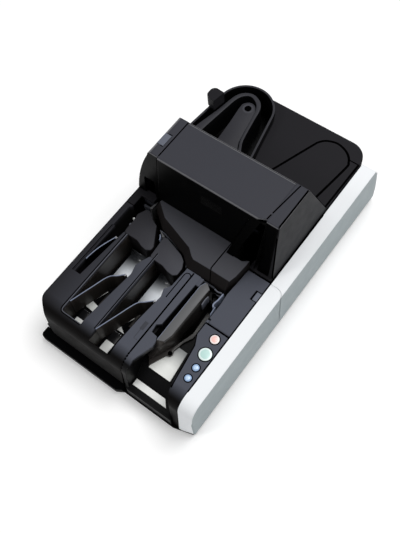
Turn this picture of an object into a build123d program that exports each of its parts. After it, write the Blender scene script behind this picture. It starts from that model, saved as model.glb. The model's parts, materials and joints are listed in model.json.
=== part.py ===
"""Cheque scanner: a desktop reader that feeds cheques on edge from a hopper, round a
U-shaped path, into two pockets and a narrow reject slot.

Millimetres.  X runs across the machine (the pale side cover is at +X), Y runs to the
back, Z runs up.  The origin is under the middle of the machine, on the surface it
stands on.
"""
from build123d import *
from math import acos, atan2, cos, radians, sin, hypot
import os

# ---- driving dimensions ---------------------------------------------------------
HALF_WIDTH = 130.7          # centre to each outer side face
FRONT_Y = -237.0            # front edge of the base ledge
REAR_Y = 237.0              # rear edge of the deck
FOOT_HEIGHT = 4.0
DECK_Z = 88.0               # flat top of the lower body
HOOD_Z = 187.0              # flat top of the hood
WALL = 2.4                  # moulded wall
TOP_WALL = 3.0              # moulded top plates
GAP = 0.4                   # seam between neighbouring covers
FIT = 0.05                  # radial clearance of a pin in its hole

PAN_TOP = FOOT_HEIGHT + 3.0     # top of the base pan's plate
FLOOR_Z = 45.0                  # surface that the cheques stand on
FLOOR_PLATE = 3.0
CHEQUE_TOP_Z = 124.0            # clear height for a cheque standing on its long edge
LEDGE_TOP = 14.0            # front ledge of the base

# front of the lower body, seen from the side: flat top, quarter round, steep face
CREST_Y, CREST_R = -197.0, 25.0
TOE_Y = -226.5

# joints between the covers, in plan
MODULE_X = 16.3             # pocket module to the left, hopper module to the right
COVER_X = 108.7             # inner edge of the pale side cover
SEAM_Y = -26.5              # pocket module to rear body on the left wall
FEEDER_FRONT_Y = -110.5     # control panel to feeder cover
FEEDER_REAR_Y = -17.5       # feeder cover to hood

# hood
HOOD_LEFT, HOOD_RIGHT = -88.0, 82.0     # gap lines each side of the lid
LID_FRONT_TOP_Y, LID_FRONT_FOOT_Y, LID_FOOT_Z = 7.0, -4.1, 104.4
HOOD_REAR_TOP_Y, HOOD_REAR_FOOT_Y = 76.0, 121.0
HINGE_Y, HINGE_Z, HINGE_R = 71.0, 181.0, 6.0
HINGE_PIN_R = 2.0

# U-turn at the back left: centre and radii of its walls
TURN_C = (-79.0, 190.0)
TURN_OUTER_R, TURN_GROOVE_R, TURN_GUIDE_R = 44.0, 41.0, 29.0
TURN_WALL_Z = 104.0
TURN_START_Y = 112.0

BUTTONS = {                 # name: (x, y, cap radius)
    "button_stop": (95.0, -123.0, 6.2),
    "button_start": (97.0, -146.0, 8.7),
    "button_up": (98.0, -167.0, 4.6),
    "button_down": (98.0, -183.5, 4.6),
}


# ---- shaping helpers -------------------------------------------------------------
def outline(points, radius=0.0):
    """Closed face in plan, with rounded corners where radius is given."""
    if radius:
        return make_face(FilletPolyline(*points, radius=radius, close=True))
    return make_face(Polyline(*points, close=True))


def rise(face, low, high):
    """Stand a plan face up between two heights."""
    return extrude(Pos(0, 0, low) * face, high - low)


def block(x0, x1, y0, y1, z0, z1):
    return Pos((x0 + x1) / 2, (y0 + y1) / 2, (z0 + z1) / 2) * Box(x1 - x0, y1 - y0, z1 - z0)


def post(x, y, r, z0, z1):
    return Pos(x, y, (z0 + z1) / 2) * Cylinder(r, z1 - z0)


def rod_x(x0, x1, y, z, r):
    return Pos((x0 + x1) / 2, y, z) * Rot(0, 90, 0) * Cylinder(r, x1 - x0)


def side_profile(points, x0, x1, radius=0.0):
    """Outline drawn as (y, z), drawn out from x0 to x1."""
    return extrude(Plane.YZ.offset(x0) * outline(points, radius), x1 - x0)


def front_profile(points, y0, y1, radius=0.0):
    """Outline drawn as (x, z), drawn out from y0 to y1."""
    return extrude(Plane.XZ.offset(-y1) * outline(points, radius), y1 - y0)


def lean_in(points, insets):
    """Corners of an outline after each side has moved in by its own amount."""
    corners = []
    for i in range(len(points)):
        (ax, ay), (bx, by), (cx, cy) = points[i - 1], points[i], points[(i + 1) % len(points)]
        before, after = hypot(bx - ax, by - ay), hypot(cx - bx, cy - by)
        ux, uy, vx, vy = (bx - ax) / before, (by - ay) / before, (cx - bx) / after, (cy - by) / after
        spread = ux * vy - uy * vx
        along_u = (insets[i] - insets[i - 1] * (ux * vx + uy * vy)) / spread
        corners.append((bx - insets[i - 1] * uy - along_u * ux,
                        by + insets[i - 1] * ux - along_u * uy))
    return corners


def leaning_block(points, insets, low, high):
    """Block whose sides lean in, each by its own amount, on the way up."""
    foot = [(x, y, low) for x, y in points]
    head = [(x, y, high) for x, y in lean_in(points, insets)]
    faces = [make_face(Polyline(*foot, close=True)), make_face(Polyline(*head, close=True))]
    for i in range(len(points)):
        j = (i + 1) % len(points)
        faces.append(make_face(Polyline(foot[i], foot[j], head[j], head[i], close=True)))
    return Solid(Shell(faces))


def front_form(x0, x1, back_y, low, inset=0.0):
    """Lower body's side shape: flat top, quarter round crest and steep front."""
    r = CREST_R - inset
    centre_z = DECK_Z - CREST_R
    mid = r * sin(radians(45))
    lines = [
        Line((back_y, low), (TOE_Y + inset, low)),
        Line((TOE_Y + inset, low), (CREST_Y - r, centre_z)),
        ThreePointArc((CREST_Y - r, centre_z), (CREST_Y - mid, centre_z + mid),
                      (CREST_Y, centre_z + r)),
        Line((CREST_Y, centre_z + r), (back_y, centre_z + r)),
        Line((back_y, centre_z + r), (back_y, low)),
    ]
    return extrude(Plane.YZ.offset(x0) * make_face(lines), x1 - x0)


def tangent_point(centre, radius, foot, side):
    """Where the line from foot touches the circle, on the left (-1) or right (+1)."""
    dx, dy = foot[0] - centre[0], foot[1] - centre[1]
    reach = hypot(dx, dy)
    angle = atan2(dy, dx) + side * acos(radius / reach)
    return centre[0] + radius * cos(angle), centre[1] + radius * sin(angle)


def teardrop(centre, radius, left_foot, right_foot):
    """Round end joined by tangent lines to two feet."""
    left = tangent_point(centre, radius, left_foot, -1)
    right = tangent_point(centre, radius, right_foot, 1)
    top = (centre[0], centre[1] + radius)
    return make_face([
        Line(left_foot, left), ThreePointArc(left, top, right),
        Line(right, right_foot), Line(right_foot, left_foot),
    ])


def turn_face(radius, shrink):
    """One of the nested U outlines of the turn; shrink moves its legs inwards."""
    left_foot = (-130.6 + shrink, TURN_START_Y)
    right_foot = (-17.5 - shrink, TURN_START_Y)
    return teardrop(TURN_C, radius, left_foot, right_foot)


# ---- base ------------------------------------------------------------------------
def base_outline():
    points = [(-129, FRONT_Y), (8, FRONT_Y), (18, -231), (101, -231), (128.5, -223),
              (128.5, 222), (90, 232), (-92, 232), (-119, 205), (-129, 118)]
    radii = [6] + [0] * (len(points) - 1)
    return make_face(FilletPolyline(*points, radius=radii, close=True))


def base_pan():
    plate = rise(base_outline(), FOOT_HEIGHT, PAN_TOP)
    ledge = rise(base_outline(), FOOT_HEIGHT, LEDGE_TOP) & block(
        -140, 16.0, FRONT_Y - 1, -221.6, 0, LEDGE_TOP)
    upstand = block(-126, 14, -221.6, -219.4, PAN_TOP, 27.4)
    pan = plate + ledge + upstand
    for x in (-100, -60, -20):
        for y in (-150, -80):
            pan += block(x - 12, x + 12, y - 1.2, y + 1.2, PAN_TOP, FLOOR_Z - FLOOR_PLATE)
    for x in range(-60, 61, 12):
        pan -= block(x - 2, x + 2, 60, 100, FOOT_HEIGHT - 1, PAN_TOP + 1)
    return pan


def rubber_feet():
    """Square rubber pads under the corners."""
    half = 8.0
    feet = [block(x - half, x + half, y - half, y + half, 0, FOOT_HEIGHT)
            for x in (-108, 106) for y in (-205, 200)]
    return Compound(children=feet)


# ---- pocket module ----------------------------------------------------------------
SLOT = [(-121.5, -152), (-109, -152), (-101.5, -66), (-101.5, -60), (-121.5, -60)]
POCKET_1 = [(-94.5, -206), (-61, -206), (-56.5, -151), (-52.5, -112), (-56, -98),
            (-52, -86), (-48, -77), (-48, -60), (-94.5, -60)]
POCKET_2 = [(-40.5, -216), (-5, -216), (-3, -160), (1, -115), (-3, -104),
            (3, -95), (4.5, -66), (4.5, -60), (-40.5, -60)]


def well_faces():
    """Plan of everything that is open to above in the pocket module."""
    path_well = outline([(-121.5, -67), (4.5, -67), (4.5, -62), (30, -62), (30, 10),
                         (-97, 10), (-97, -7), (-118, -7), (-118, -28), (-121.5, -32)])
    tip = outline([(-48.5, -77), (-40, -77), (-40, -60), (-48.5, -60)])
    slot = outline(SLOT)
    return outline(POCKET_1) + outline(POCKET_2) + slot + path_well + tip


def body_shell(outer, cavity, wells, low):
    """Thin moulded body: outer skin, the walls of its wells and the wells cut out."""
    grown = offset(wells, WALL - 0.2, kind=Kind.INTERSECTION)
    well_walls = rise(grown, FLOOR_Z, DECK_Z + 1) & outer
    return outer - cavity + well_walls - rise(wells, low, DECK_Z + 1)


def pocket_plan(inset=0.0):
    i = inset
    pts = [(-HALF_WIDTH + i, SEAM_Y - i), (-HALF_WIDTH + i, -206), (-112, TOE_Y - 1 + i),
           (MODULE_X - i, TOE_Y - 1 + i), (MODULE_X - i, SEAM_Y - i)]
    radii = [0.0, 16.0, 20.0, 0.0, 0.0]
    return make_face(FilletPolyline(*pts, radius=radii, close=True))


def pocket_housing():
    low = 28.0
    outer = front_form(-HALF_WIDTH, MODULE_X, SEAM_Y, low) & rise(pocket_plan(), low, DECK_Z)
    edge = outer.edges().filter_by(GeomType.LINE).filter_by(Axis.Y)
    outer = fillet(edge.sort_by(Axis.X)[0:1].sort_by(Axis.Z)[-1:], 2.0) if edge else outer
    skirt = rise(pocket_plan() - outline([(-HALF_WIDTH - 1, -214), (40, -214), (40, -240),
                                          (-HALF_WIDTH - 1, -240)]), PAN_TOP, low)
    inner = front_form(-HALF_WIDTH, MODULE_X, SEAM_Y + 1, 0, WALL) & rise(
        pocket_plan(WALL), 0, DECK_Z - TOP_WALL)
    skirt -= rise(pocket_plan(WALL), 0, low)
    # the rear end is open: the rear body closes it
    inner += block(-HALF_WIDTH + WALL, MODULE_X - WALL, SEAM_Y - 12, SEAM_Y + 1, 0,
                   DECK_Z - TOP_WALL)
    return body_shell(outer + skirt, inner, well_faces(), FLOOR_Z)


POST_R = 1.9                # upright posts of the bent plates and of the gates
BEARING_DEPTH = 2.5
POST_FOOT_Z = FLOOR_Z - BEARING_DEPTH + 0.3


def pocket_floor():
    """Plate that the sorted cheques stand on, with a bearing for each upright post."""
    plan = outline([(-127.5, -28), (-127.5, -200), (-115, -219), (13.5, -219), (13.5, -63.5),
                    (5, -63.5), (5, -28)])
    floor = rise(plan, FLOOR_Z - FLOOR_PLATE, FLOOR_Z)
    bearings = [points[0] for points in PLATES.values()]
    bearings.append(GATES["sorting_gate_right"][:2])
    for x, y in bearings:
        floor -= post(x, y, POST_R + FIT, FLOOR_Z - BEARING_DEPTH, FLOOR_Z + 1)
    return floor


def pocket_floor_plates():
    """Bright contact plates let into the pocket floors."""
    plates = [block(-94.2, -77, -176, -158, FLOOR_Z, FLOOR_Z + 0.8),
              block(-93, -60, -114, -75, FLOOR_Z, FLOOR_Z + 0.8),
              block(-91, -80, -199, -192, FLOOR_Z, FLOOR_Z + 0.8),
              block(-39, -8, -122, -88, FLOOR_Z, FLOOR_Z + 0.8),
              block(-36, -20, -211, -192, FLOOR_Z, FLOOR_Z + 0.8)]
    return Compound(children=plates)


ISLAND_LEFT = [(-97, -18), (-88, -19.5), (-69, -32), (-56, -52), (-53, -66), (-58, -72.5),
               (-70, -70), (-78, -66.5), (-98.5, -66.8), (-106, -42)]
ISLAND_LEFT_RADII = [5, 4, 6, 12, 4, 4, 6, 6, 3, 12]
ISLAND_MIDDLE = [(-50.5, -41.5), (-45, -40), (-12, -51.5), (-1.5, -61), (-1.5, -80),
                 (-9, -85.5), (-20, -78), (-40.8, -76), (-47, -71), (-48.3, -60)]
ISLAND_MIDDLE_RADII = [2, 3, 6, 7, 5, 4, 6, 2, 2, 4]


def island(points, radii):
    """Solid guide between two branches of the path, with rounded corners in plan."""
    plan = make_face(FilletPolyline(*points, radius=radii, close=True))
    return rise(plan, FLOOR_Z, DECK_Z)


# ---- raised transport block --------------------------------------------------------
BLOCK_TOP_Z = 104.0


TRANSPORT_SIDES = [          # corner in plan, how far the side after it leans in
    ((-87.2, 9), 5), ((-87.2, 0), 6), ((-90, -10), 7), ((-62, -32), 8.4), ((-13, -48), 9.5),
    ((-1, -58), 9.7), ((4.9, -61.6), 9.0), ((41, -60.6), 0), ((35.4, -49), 0), ((36, 9), 0),
]


def transport_block():
    """Raised guide in front of the hood, with a sloping skirt on its open sides."""
    low = [corner for corner, inset in TRANSPORT_SIDES]
    insets = [inset for corner, inset in TRANSPORT_SIDES]
    body = rise(outline(low), FLOOR_Z, DECK_Z)
    cap = leaning_block(low, insets, DECK_Z, BLOCK_TOP_Z)
    relief = block(-60, 25, -34, 9.5, FLOOR_Z - 1, DECK_Z - 4)
    return body + cap - relief


def path_block():
    """Short block beside the raised guide; its right face is the feed path's wall."""
    plan = outline([(41.8, -60.6), (66.0, -59.9), (67.1, -51), (69.6, -41), (71.4, -20),
                    (71.4, 6), (36.8, 6), (36.2, -49)])
    body = rise(plan, FLOOR_Z, BLOCK_TOP_Z)
    front_slope = side_profile([(-62, DECK_Z), (-60.6, DECK_Z), (-51.6, BLOCK_TOP_Z),
                                (-51.6, 110), (-62, 110)], 30, 75)
    mouth = rise(outline([(49, -18.2), (63.2, -18.2), (73, -11), (73, 7), (49, 7)]), 60, 110)
    roller_pocket = post(*RETARD, RETARD_R + 0.8, FLOOR_Z - 1, 82)
    return body - front_slope - mouth - roller_pocket


# ---- hopper module -----------------------------------------------------------------
RETARD = (60.0, -68.5)
RETARD_R = 7.8
FEED = (77.6, -68.5)
FEED_R = 9.5
PICKUP = (78.2, -98.0)
MOTOR = (90.0, -42.0)
RODS_Y = (-160.0, -95.0)
ROD_Z, ROD_R = 33.0, 1.5
PULLEY_R, MOTOR_PULLEY_R = 6.0, 4.0
SHAFT_R = 2.0               # shafts of the rollers
FINS, FIN_PITCH, FIN_R = 4, 8.0, 13.5      # curved fins beside the retard roller
STRIP_Z = 25.0              # floor of the front step, under the pale strip


def hopper_left_wall():
    """Left wall of the hopper: narrow top strip, lobe at the front, curved down."""
    plan = outline([(MODULE_X + GAP, -62), (MODULE_X + GAP, -235), (40, -235), (27, -215),
                    (26, -205), (31.5, -189), (35.5, -176), (34.6, -168.5), (31.5, -162.5),
                    (22, -161), (20.5, -150), (26, -145), (28, -77), (28, -62)])
    form = front_form(MODULE_X + GAP, 45, -62, PAN_TOP)
    top = form & rise(plan, DECK_Z - 9, DECK_Z)
    wall = form & block(MODULE_X + GAP, 24, -240, -62, PAN_TOP, DECK_Z - 9)
    return top + wall


def hopper_floor_outline():
    """Plan of the hopper's floor; its right edge follows the control panel."""
    return outline([(24, -62), (70.2, -62), (70.2, -130.2), (77, -143.2), (87, -210.2),
                    (92.4, -219.4), (95.5, -226), (24, -226)])


def rod_slits():
    """Slits in the hopper's floor for the pusher's two legs."""
    slits = [block(37, 58, y - 2.6, y + 2.6, FLOOR_Z - 5, FLOOR_Z + 3) for y in RODS_Y]
    return slits[0] + slits[1]


def hopper_housing():
    """Left wall, floor with a ramp down to the front strip, sill and the pusher's rods."""
    ramp = side_profile([(-62, FLOOR_Z), (-190, FLOOR_Z), (-209, STRIP_Z), (-226, STRIP_Z),
                         (-226, STRIP_Z - 3), (-207.8, STRIP_Z - 3),
                         (-188.8, FLOOR_Z - FLOOR_PLATE), (-62, FLOOR_Z - FLOOR_PLATE)], 20, 100)
    floor = ramp & rise(hopper_floor_outline(), PAN_TOP, DECK_Z)
    sill = block(24, 97.5, -229.5, -226.8, PAN_TOP, 28)
    sill += block(24, 94.8, -226.8, -224, PAN_TOP, STRIP_Z)
    rear = block(24, 50, -64.5, -62, FLOOR_Z - 1, 84)
    for step in range(FINS):
        z = 50 + FIN_PITCH * step
        fin = post(*RETARD, FIN_R, z, z + 1.2) & block(40, 56, -78, -62.2, 0, 90)
        rear += fin - post(*RETARD, RETARD_R + 1.2, 40, 90)
    body = hopper_left_wall() + floor + sill + rear - rod_slits()
    for y in RODS_Y:
        body += block(66.5, 70.2, y - 3, y + 3, ROD_Z - 6, FLOOR_Z - FLOOR_PLATE)
        body += rod_x(22, 68, y, ROD_Z, ROD_R)
    return body - post(*RETARD, SHAFT_R + FIT, FLOOR_Z - BEARING_DEPTH, FLOOR_Z + 1)


def hopper_floor_plates():
    """Pale sheet on the hopper's floor and the pale strip behind its sill."""
    sheet = rise(outline([(35, -189.5), (35, -146), (66, -146), (71.5, -189.5)]),
                 FLOOR_Z, FLOOR_Z + 0.8) - rod_slits()
    strip = block(27, 84.5, -221, -210, STRIP_Z, STRIP_Z + 1.2)
    return Compound(children=[sheet, strip])


PUSHER_BAND = [(34.5, -165.5), (46, -168.5), (50.5, -82), (50, -70), (39, -67), (34.5, -72)]
PUSHER_WEB = [(35.5, -180), (57, -128), (57, -84), (35.5, -84)]
PUSHER_WEB_LEAN = [7.5, 10.5, 0, 0]
PUSHER_FOOT = [(25, -178), (31.5, -186), (54, -149), (60, -127), (60, -86), (35.5, -82)]
PUSHER_FOOT_Z = FLOOR_Z + 1.2


def hopper_pusher():
    """Plate that presses the cheques over: flat top band, sloping web and wide foot."""
    band_z = DECK_Z - 4
    pusher = rise(outline(PUSHER_BAND), band_z, DECK_Z)
    pusher += leaning_block(PUSHER_WEB, PUSHER_WEB_LEAN, PUSHER_FOOT_Z + 2, band_z)
    pusher += rise(outline(PUSHER_FOOT), PUSHER_FOOT_Z, PUSHER_FOOT_Z + 2)
    for y in RODS_Y:
        pusher += block(38, 48, y - 2, y + 2, ROD_Z - 3, PUSHER_FOOT_Z)
        pusher -= rod_x(30, 60, y, ROD_Z, ROD_R + FIT)
    return pusher


# ---- right-hand covers ----------------------------------------------------------------
FEEDER_NOSE_R = 3.4               # rounded front edge of the feeder cover
FEEDER_PIVOT = (FEEDER_FRONT_Y + GAP + FEEDER_NOSE_R, DECK_Z - FEEDER_NOSE_R)
FEEDER_PIN_R = 1.2
BUTTON_GAP = 0.4


def panel_plan(inset=0.0):
    i = inset
    pts = [(70.8 + i, FEEDER_FRONT_Y - i), (70.8 + i, -130), (77.5 + i, -143),
           (87.5 + i, -210), (93 + i, -219), (98.5 + i, -232), (COVER_X - GAP - i, -232),
           (COVER_X - GAP - i, FEEDER_FRONT_Y - i)]
    return outline(pts)


def control_panel():
    outer = front_form(60, COVER_X, FEEDER_FRONT_Y, PAN_TOP) & rise(panel_plan(), PAN_TOP, DECK_Z)
    inner = front_form(60, COVER_X, FEEDER_FRONT_Y + 1, 0, WALL) & rise(
        panel_plan(1.8), 0, DECK_Z - TOP_WALL)
    shell = outer - inner
    y, z = FEEDER_PIVOT
    shell += block(70.8, 74.4, FEEDER_FRONT_Y - 2, y + 1, z - 3.2, DECK_Z)
    shell += rod_x(74, 79, y, z, FEEDER_PIN_R)
    for x, y, r in BUTTONS.values():
        shell -= post(x, y, r + BUTTON_GAP, DECK_Z - 5, DECK_Z + 1)
    return shell


BUTTON_RISE, BUTTON_DEPTH, FLANGE = 1.2, 4.5, 1.7


def panel_button(x, y, r):
    """Round cap on a square flange that keeps it in the panel."""
    cap = post(x, y, r, DECK_Z - BUTTON_DEPTH, DECK_Z + BUTTON_RISE)
    half = r + 0.7
    return cap + block(x - half, x + half, y - half, y + half,
                       DECK_Z - BUTTON_DEPTH - FLANGE, DECK_Z - BUTTON_DEPTH)


def button_board():
    """Board under the keys, with a low switch below each."""
    top = DECK_Z - BUTTON_DEPTH - FLANGE - 2.3
    board = block(89, 105.5, -190, -114, top - 1.6, top)
    for x, y, r in BUTTONS.values():
        board += block(x - 3, x + 3, y - 3, y + 3, top, top + 1)
    return board


FEEDER_SKIRT_Z = 77.0


def feeder_plan(inset=0.0):
    i = inset
    return outline([(72 + i, FEEDER_FRONT_Y + GAP + i), (72 + i, -78), (70.6 + i, -63),
                    (73.2 + i, FEEDER_REAR_Y - i), (COVER_X - GAP - i, FEEDER_REAR_Y - i),
                    (COVER_X - GAP - i, FEEDER_FRONT_Y + GAP + i)])


def feeder_cover():
    """Lid over the feed rollers; it swings up about its front edge."""
    lid = rise(feeder_plan(), FEEDER_SKIRT_Z, DECK_Z)
    lid -= rise(feeder_plan(1.8), FEEDER_SKIRT_Z - 1, DECK_Z - TOP_WALL)
    lid -= block(98.5, COVER_X - GAP + 1, -51, -35.5, DECK_Z - 20, DECK_Z + 1)
    lid += block(96.5, 98.5, -53, -33.5, DECK_Z - 8, DECK_Z - TOP_WALL)
    lid += block(98.5, COVER_X - GAP, -53, -51, DECK_Z - 8, DECK_Z - TOP_WALL)
    lid += block(98.5, COVER_X - GAP, -35.5, -33.5, DECK_Z - 8, DECK_Z - TOP_WALL)
    y, z = FEEDER_PIVOT
    nose = rod_x(74.8, COVER_X - GAP, y, z, FEEDER_NOSE_R)
    lid -= block(60, 120, FEEDER_FRONT_Y - 1, y, z - 9, DECK_Z + 1)
    lid -= block(60, 74.8, FEEDER_FRONT_Y - 1, y + FEEDER_NOSE_R + 0.4, z - 9, DECK_Z + 1)
    lid -= block(60, 120, y - 1, y + 4, z - 9, z)
    return lid + nose - rod_x(70, 120, y, z, FEEDER_PIN_R + FIT)


def release_button():
    """Key at the edge of the feeder cover; a wider foot fills the notch below it."""
    top = block(101.2, COVER_X - GAP - 0.4, -50.0, -37.0, DECK_Z - 6, DECK_Z + 0.6)
    top = chamfer(top.faces().sort_by(Axis.Z)[-1].edges(), 0.5)
    return top + block(99, 107.6, -50.5, -36, DECK_Z - 9, DECK_Z - 6)


BEARING_PLATE_Z = (66.0, 69.0)
TYRE_Z = (47.0, 65.0)
PULLEY_Z = (71.0, 76.0)


def feeder_frame():
    """Upright frame under the feeder cover; its top plate carries the feed rollers."""
    low, high = BEARING_PLATE_Z
    frame = block(72.6, 107.4, -104, -20, PAN_TOP, 10)
    frame += block(72.6, 74.6, -109.8, -20, 10, high)
    frame += block(74.6, 104, -109.8, -20, low, high)
    frame += block(102, 104, -104, -20, 10, low)
    for x, y in (FEED, PICKUP):
        frame -= block(72, 76, y - FEED_R - 0.8, y + FEED_R + 0.8, FLOOR_Z + 1, low)
        frame -= post(x, y, SHAFT_R + FIT, low - 1, high + 1)
    return frame - post(*MOTOR, SHAFT_R + 3, low - 1, high + 1)


def feed_roller(x, y):
    """Rubber tyre hung on a short shaft, with its belt pulley above the frame."""
    roller = post(x, y, FEED_R, *TYRE_Z)
    roller += post(x, y, SHAFT_R, TYRE_Z[1], PULLEY_Z[0])
    return roller + post(x, y, PULLEY_R, *PULLEY_Z)


def retard_roller():
    """Rubber tyre on a shaft that stands in the hopper's floor."""
    return post(*RETARD, SHAFT_R, POST_FOOT_Z, TYRE_Z[0]) + post(*RETARD, RETARD_R, *TYRE_Z)


def belt_loop(grow):
    """Loop round the pulleys of both rollers and of the motor."""
    circles = Pos(*FEED) * Circle(PULLEY_R + grow) + Pos(*PICKUP) * Circle(PULLEY_R + grow)
    circles += Pos(*MOTOR) * Circle(MOTOR_PULLEY_R + grow)
    return make_hull(circles.edges())


def feed_belt():
    return rise(belt_loop(1.4) - belt_loop(0.15), PULLEY_Z[0] + 0.5, PULLEY_Z[1] - 0.5)


# ---- pale side covers -------------------------------------------------------------------
SIDE_TOE_Y = -227.5
SIDE_REAR = [(226.0, PAN_TOP), (226.5, 30.0), (219.5, 76.0), (212.0, DECK_Z)]


def side_form(x0, x1, inset=0.0):
    """Side cover seen from the right: rounded nose at the front, sloping tail."""
    r = CREST_R - 4.0 - inset
    nose_y = CREST_Y - 4.0
    centre_z = DECK_Z - 21.0
    mid = r * sin(radians(45))
    low = PAN_TOP
    lines = [
        Line((SIDE_REAR[0][0] - inset, low), (SIDE_TOE_Y + inset, low)),
        Line((SIDE_TOE_Y + inset, low), (nose_y - r, centre_z)),
        ThreePointArc((nose_y - r, centre_z), (nose_y - mid, centre_z + mid),
                      (nose_y, centre_z + r)),
        Line((nose_y, centre_z + r), (SIDE_REAR[3][0] - inset, centre_z + r)),
        Line((SIDE_REAR[3][0] - inset, centre_z + r),
             (SIDE_REAR[2][0] - inset, SIDE_REAR[2][1] - inset * 0.4)),
        Line((SIDE_REAR[2][0] - inset, SIDE_REAR[2][1] - inset * 0.4),
             (SIDE_REAR[1][0] - inset, SIDE_REAR[1][1])),
        Line((SIDE_REAR[1][0] - inset, SIDE_REAR[1][1]), (SIDE_REAR[0][0] - inset, low)),
    ]
    return extrude(Plane.YZ.offset(x0) * make_face(lines), x1 - x0)


def side_plan(inset=0.0):
    i = inset
    return make_face(FilletPolyline(
        (COVER_X + i, -228.6 + i), (HALF_WIDTH - i, -221.8 + i),
        (HALF_WIDTH - i, 240), (COVER_X + i, 240), radius=[0, 2.6, 0, 0], close=True))


PARTING_Y = -30.0


def front_region():
    """Plan of everything in front of the parting line of the side covers."""
    seam = [
        Line((90, -260), (90, -18.0)), Line((90, -18.0), (119.3, -18.0)),
        ThreePointArc((119.3, -18.0), (127.5, -21.6), (HALF_WIDTH, PARTING_Y)),
        Line((HALF_WIDTH, PARTING_Y), (140, PARTING_Y)), Line((140, PARTING_Y), (140, -260)),
        Line((140, -260), (90, -260)),
    ]
    return make_face(seam)


def rear_region():
    return outline([(90, -60), (140, -60), (140, 260), (90, 260)]) - offset(
        front_region(), GAP, kind=Kind.INTERSECTION)


PANEL_THICK = 2.0


def side_cover(region):
    outer = side_form(COVER_X, HALF_WIDTH) & rise(side_plan(), 0, DECK_Z)
    inner = side_form(COVER_X, HALF_WIDTH - 4.4, WALL) & rise(side_plan(WALL), 0, DECK_Z)
    inner += side_form(COVER_X - 1, COVER_X + 4, 6)
    recess = side_form(HALF_WIDTH - PANEL_THICK, HALF_WIDTH + 1, 1.2)
    recess += block(HALF_WIDTH - PANEL_THICK, HALF_WIDTH + 1, -219, 222, 0, 30)
    return (outer - inner - recess) & rise(region, 0, DECK_Z + 1)


def side_cover_front():
    """Front cover, with the pin for the right end of the feeder cover."""
    return side_cover(front_region()) + rod_x(COVER_X - 5, COVER_X + 1, *FEEDER_PIVOT, FEEDER_PIN_R)


def side_panel(region):
    """Grey skin let flush into the side cover."""
    panel = side_form(HALF_WIDTH - PANEL_THICK, HALF_WIDTH, 1.2)
    panel = panel & rise(side_plan(0.0), 0, DECK_Z)
    return panel & rise(region, 0, DECK_Z + 1)


# ---- rear body -------------------------------------------------------------------------
BODY_RIGHT_X = 106.5
SEAT_GAP = 0.2              # round pieces that are let into the rear body


def rear_plan(inset=0.0):
    i = inset
    right = make_face(FilletPolyline(
        (-60 + i, SEAM_Y + GAP + i), (BODY_RIGHT_X - i, SEAM_Y + GAP + i),
        (BODY_RIGHT_X - i, REAR_Y - i), (-60 + i, REAR_Y - i),
        radius=[0, 0, 28 - i, 4 - i], close=True))
    left = outline([(-HALF_WIDTH + i, SEAM_Y + GAP + i), (-55, SEAM_Y + GAP + i),
                    (-55, TURN_START_Y + 8), (-HALF_WIDTH + i, TURN_START_Y + 8)])
    left += turn_face(TURN_OUTER_R - i, i)
    return left + right


COVER_C = (66.0, 197.0)


def rear_cover_face(grow=0.0):
    return teardrop(COVER_C, 26.5 + grow, (8 - grow, 124), (87 + grow, 124))


def turn_region(grow=0.0):
    """Plan of the rear body's left part, which holds the U-turn."""
    behind_hood = outline([(-140, HOOD_REAR_FOOT_Y + 0.5 - grow), (0, HOOD_REAR_FOOT_Y + 0.5 - grow),
                           (0, 250), (-140, 250)])
    return turn_face(TURN_OUTER_R + grow, -grow) & behind_hood


def rear_body():
    """Whole rear body: skin, deck, walls of the turn and the openings at the back."""
    low = PAN_TOP
    outer = rise(rear_plan(), low, DECK_Z)
    front_right = block(17, 120, -40, -14.5, 0, DECK_Z + 1)
    outer -= front_right
    cavity = rise(rear_plan(WALL), 0, DECK_Z - TOP_WALL)
    groove = turn_face(TURN_GROOVE_R, 3.0)
    wall = rise(turn_face(TURN_OUTER_R, 0.0), DECK_Z - 4, TURN_WALL_Z)
    wall += rise(turn_face(TURN_OUTER_R, 0.0), FLOOR_Z - 3, DECK_Z)
    shell = outer - cavity
    shell += wall
    shell += post(*LEVER, 4.6, TURN_WALL_Z - 20, TURN_WALL_Z)
    shell -= rise(groove, FLOOR_Z, TURN_WALL_Z + 1)
    shell -= post(*LEVER, 2.0 + FIT, TURN_WALL_Z - 14, TURN_WALL_Z + 1)
    shell -= hood_rear_clearance()
    shell -= rise(outline([(-128, -40), (-128, 112.5), (104, 112.5), (104, -14), (30, -14),
                           (30, -40)]) , 0, DECK_Z - TOP_WALL)
    shell -= rise(outline([(-118, -40), (-118, -7), (-97, -7), (-97, 6), (-122, 6), (-122, 113),
                           (102, 113), (102, 0), (71.5, 0), (71.5, -40)]), 0, DECK_Z + 1)
    # seat of the teardrop cover
    seat = rise(rear_cover_face(1.2), DECK_Z - 2.0, DECK_Z + 1)
    hole = rise(rear_cover_face(-4.0), DECK_Z - 8, DECK_Z + 1)
    seam = block(92, 120, 190.6, 191.6, DECK_Z - 0.9, DECK_Z + 1)
    shell = shell - seat - hole - seam
    shell -= block(-40, -14, REAR_Y - 3, REAR_Y + 1, 30, 52)       # mains inlet
    shell -= block(0, 14, REAR_Y - 3, REAR_Y + 1, 34, 47)          # data socket
    return shell - block(30, 44, REAR_Y - 3, REAR_Y + 1, 30, 52)   # power switch


def turn_housing():
    return rear_body() & rise(turn_region(), 0, TURN_WALL_Z + 1)


def rear_housing():
    return rear_body() - rise(turn_region(SEAT_GAP), 0, TURN_WALL_Z + 1)


def rear_path_cover():
    plate = rise(rear_cover_face(0.0), DECK_Z - 1.9, DECK_Z)
    for x in (30, 60):
        plate += block(x - 8, x + 8, 140, 142, DECK_Z - 6, DECK_Z - 1.9)
    return plate


def hood_rear_clearance():
    """Space that the hood's sloping back takes above the deck."""
    return side_profile([(0, DECK_Z), (HOOD_REAR_FOOT_Y + 0.5, DECK_Z),
                         (HOOD_REAR_FOOT_Y - 8.6, 108), (0, 108)], -140, 110)


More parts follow.
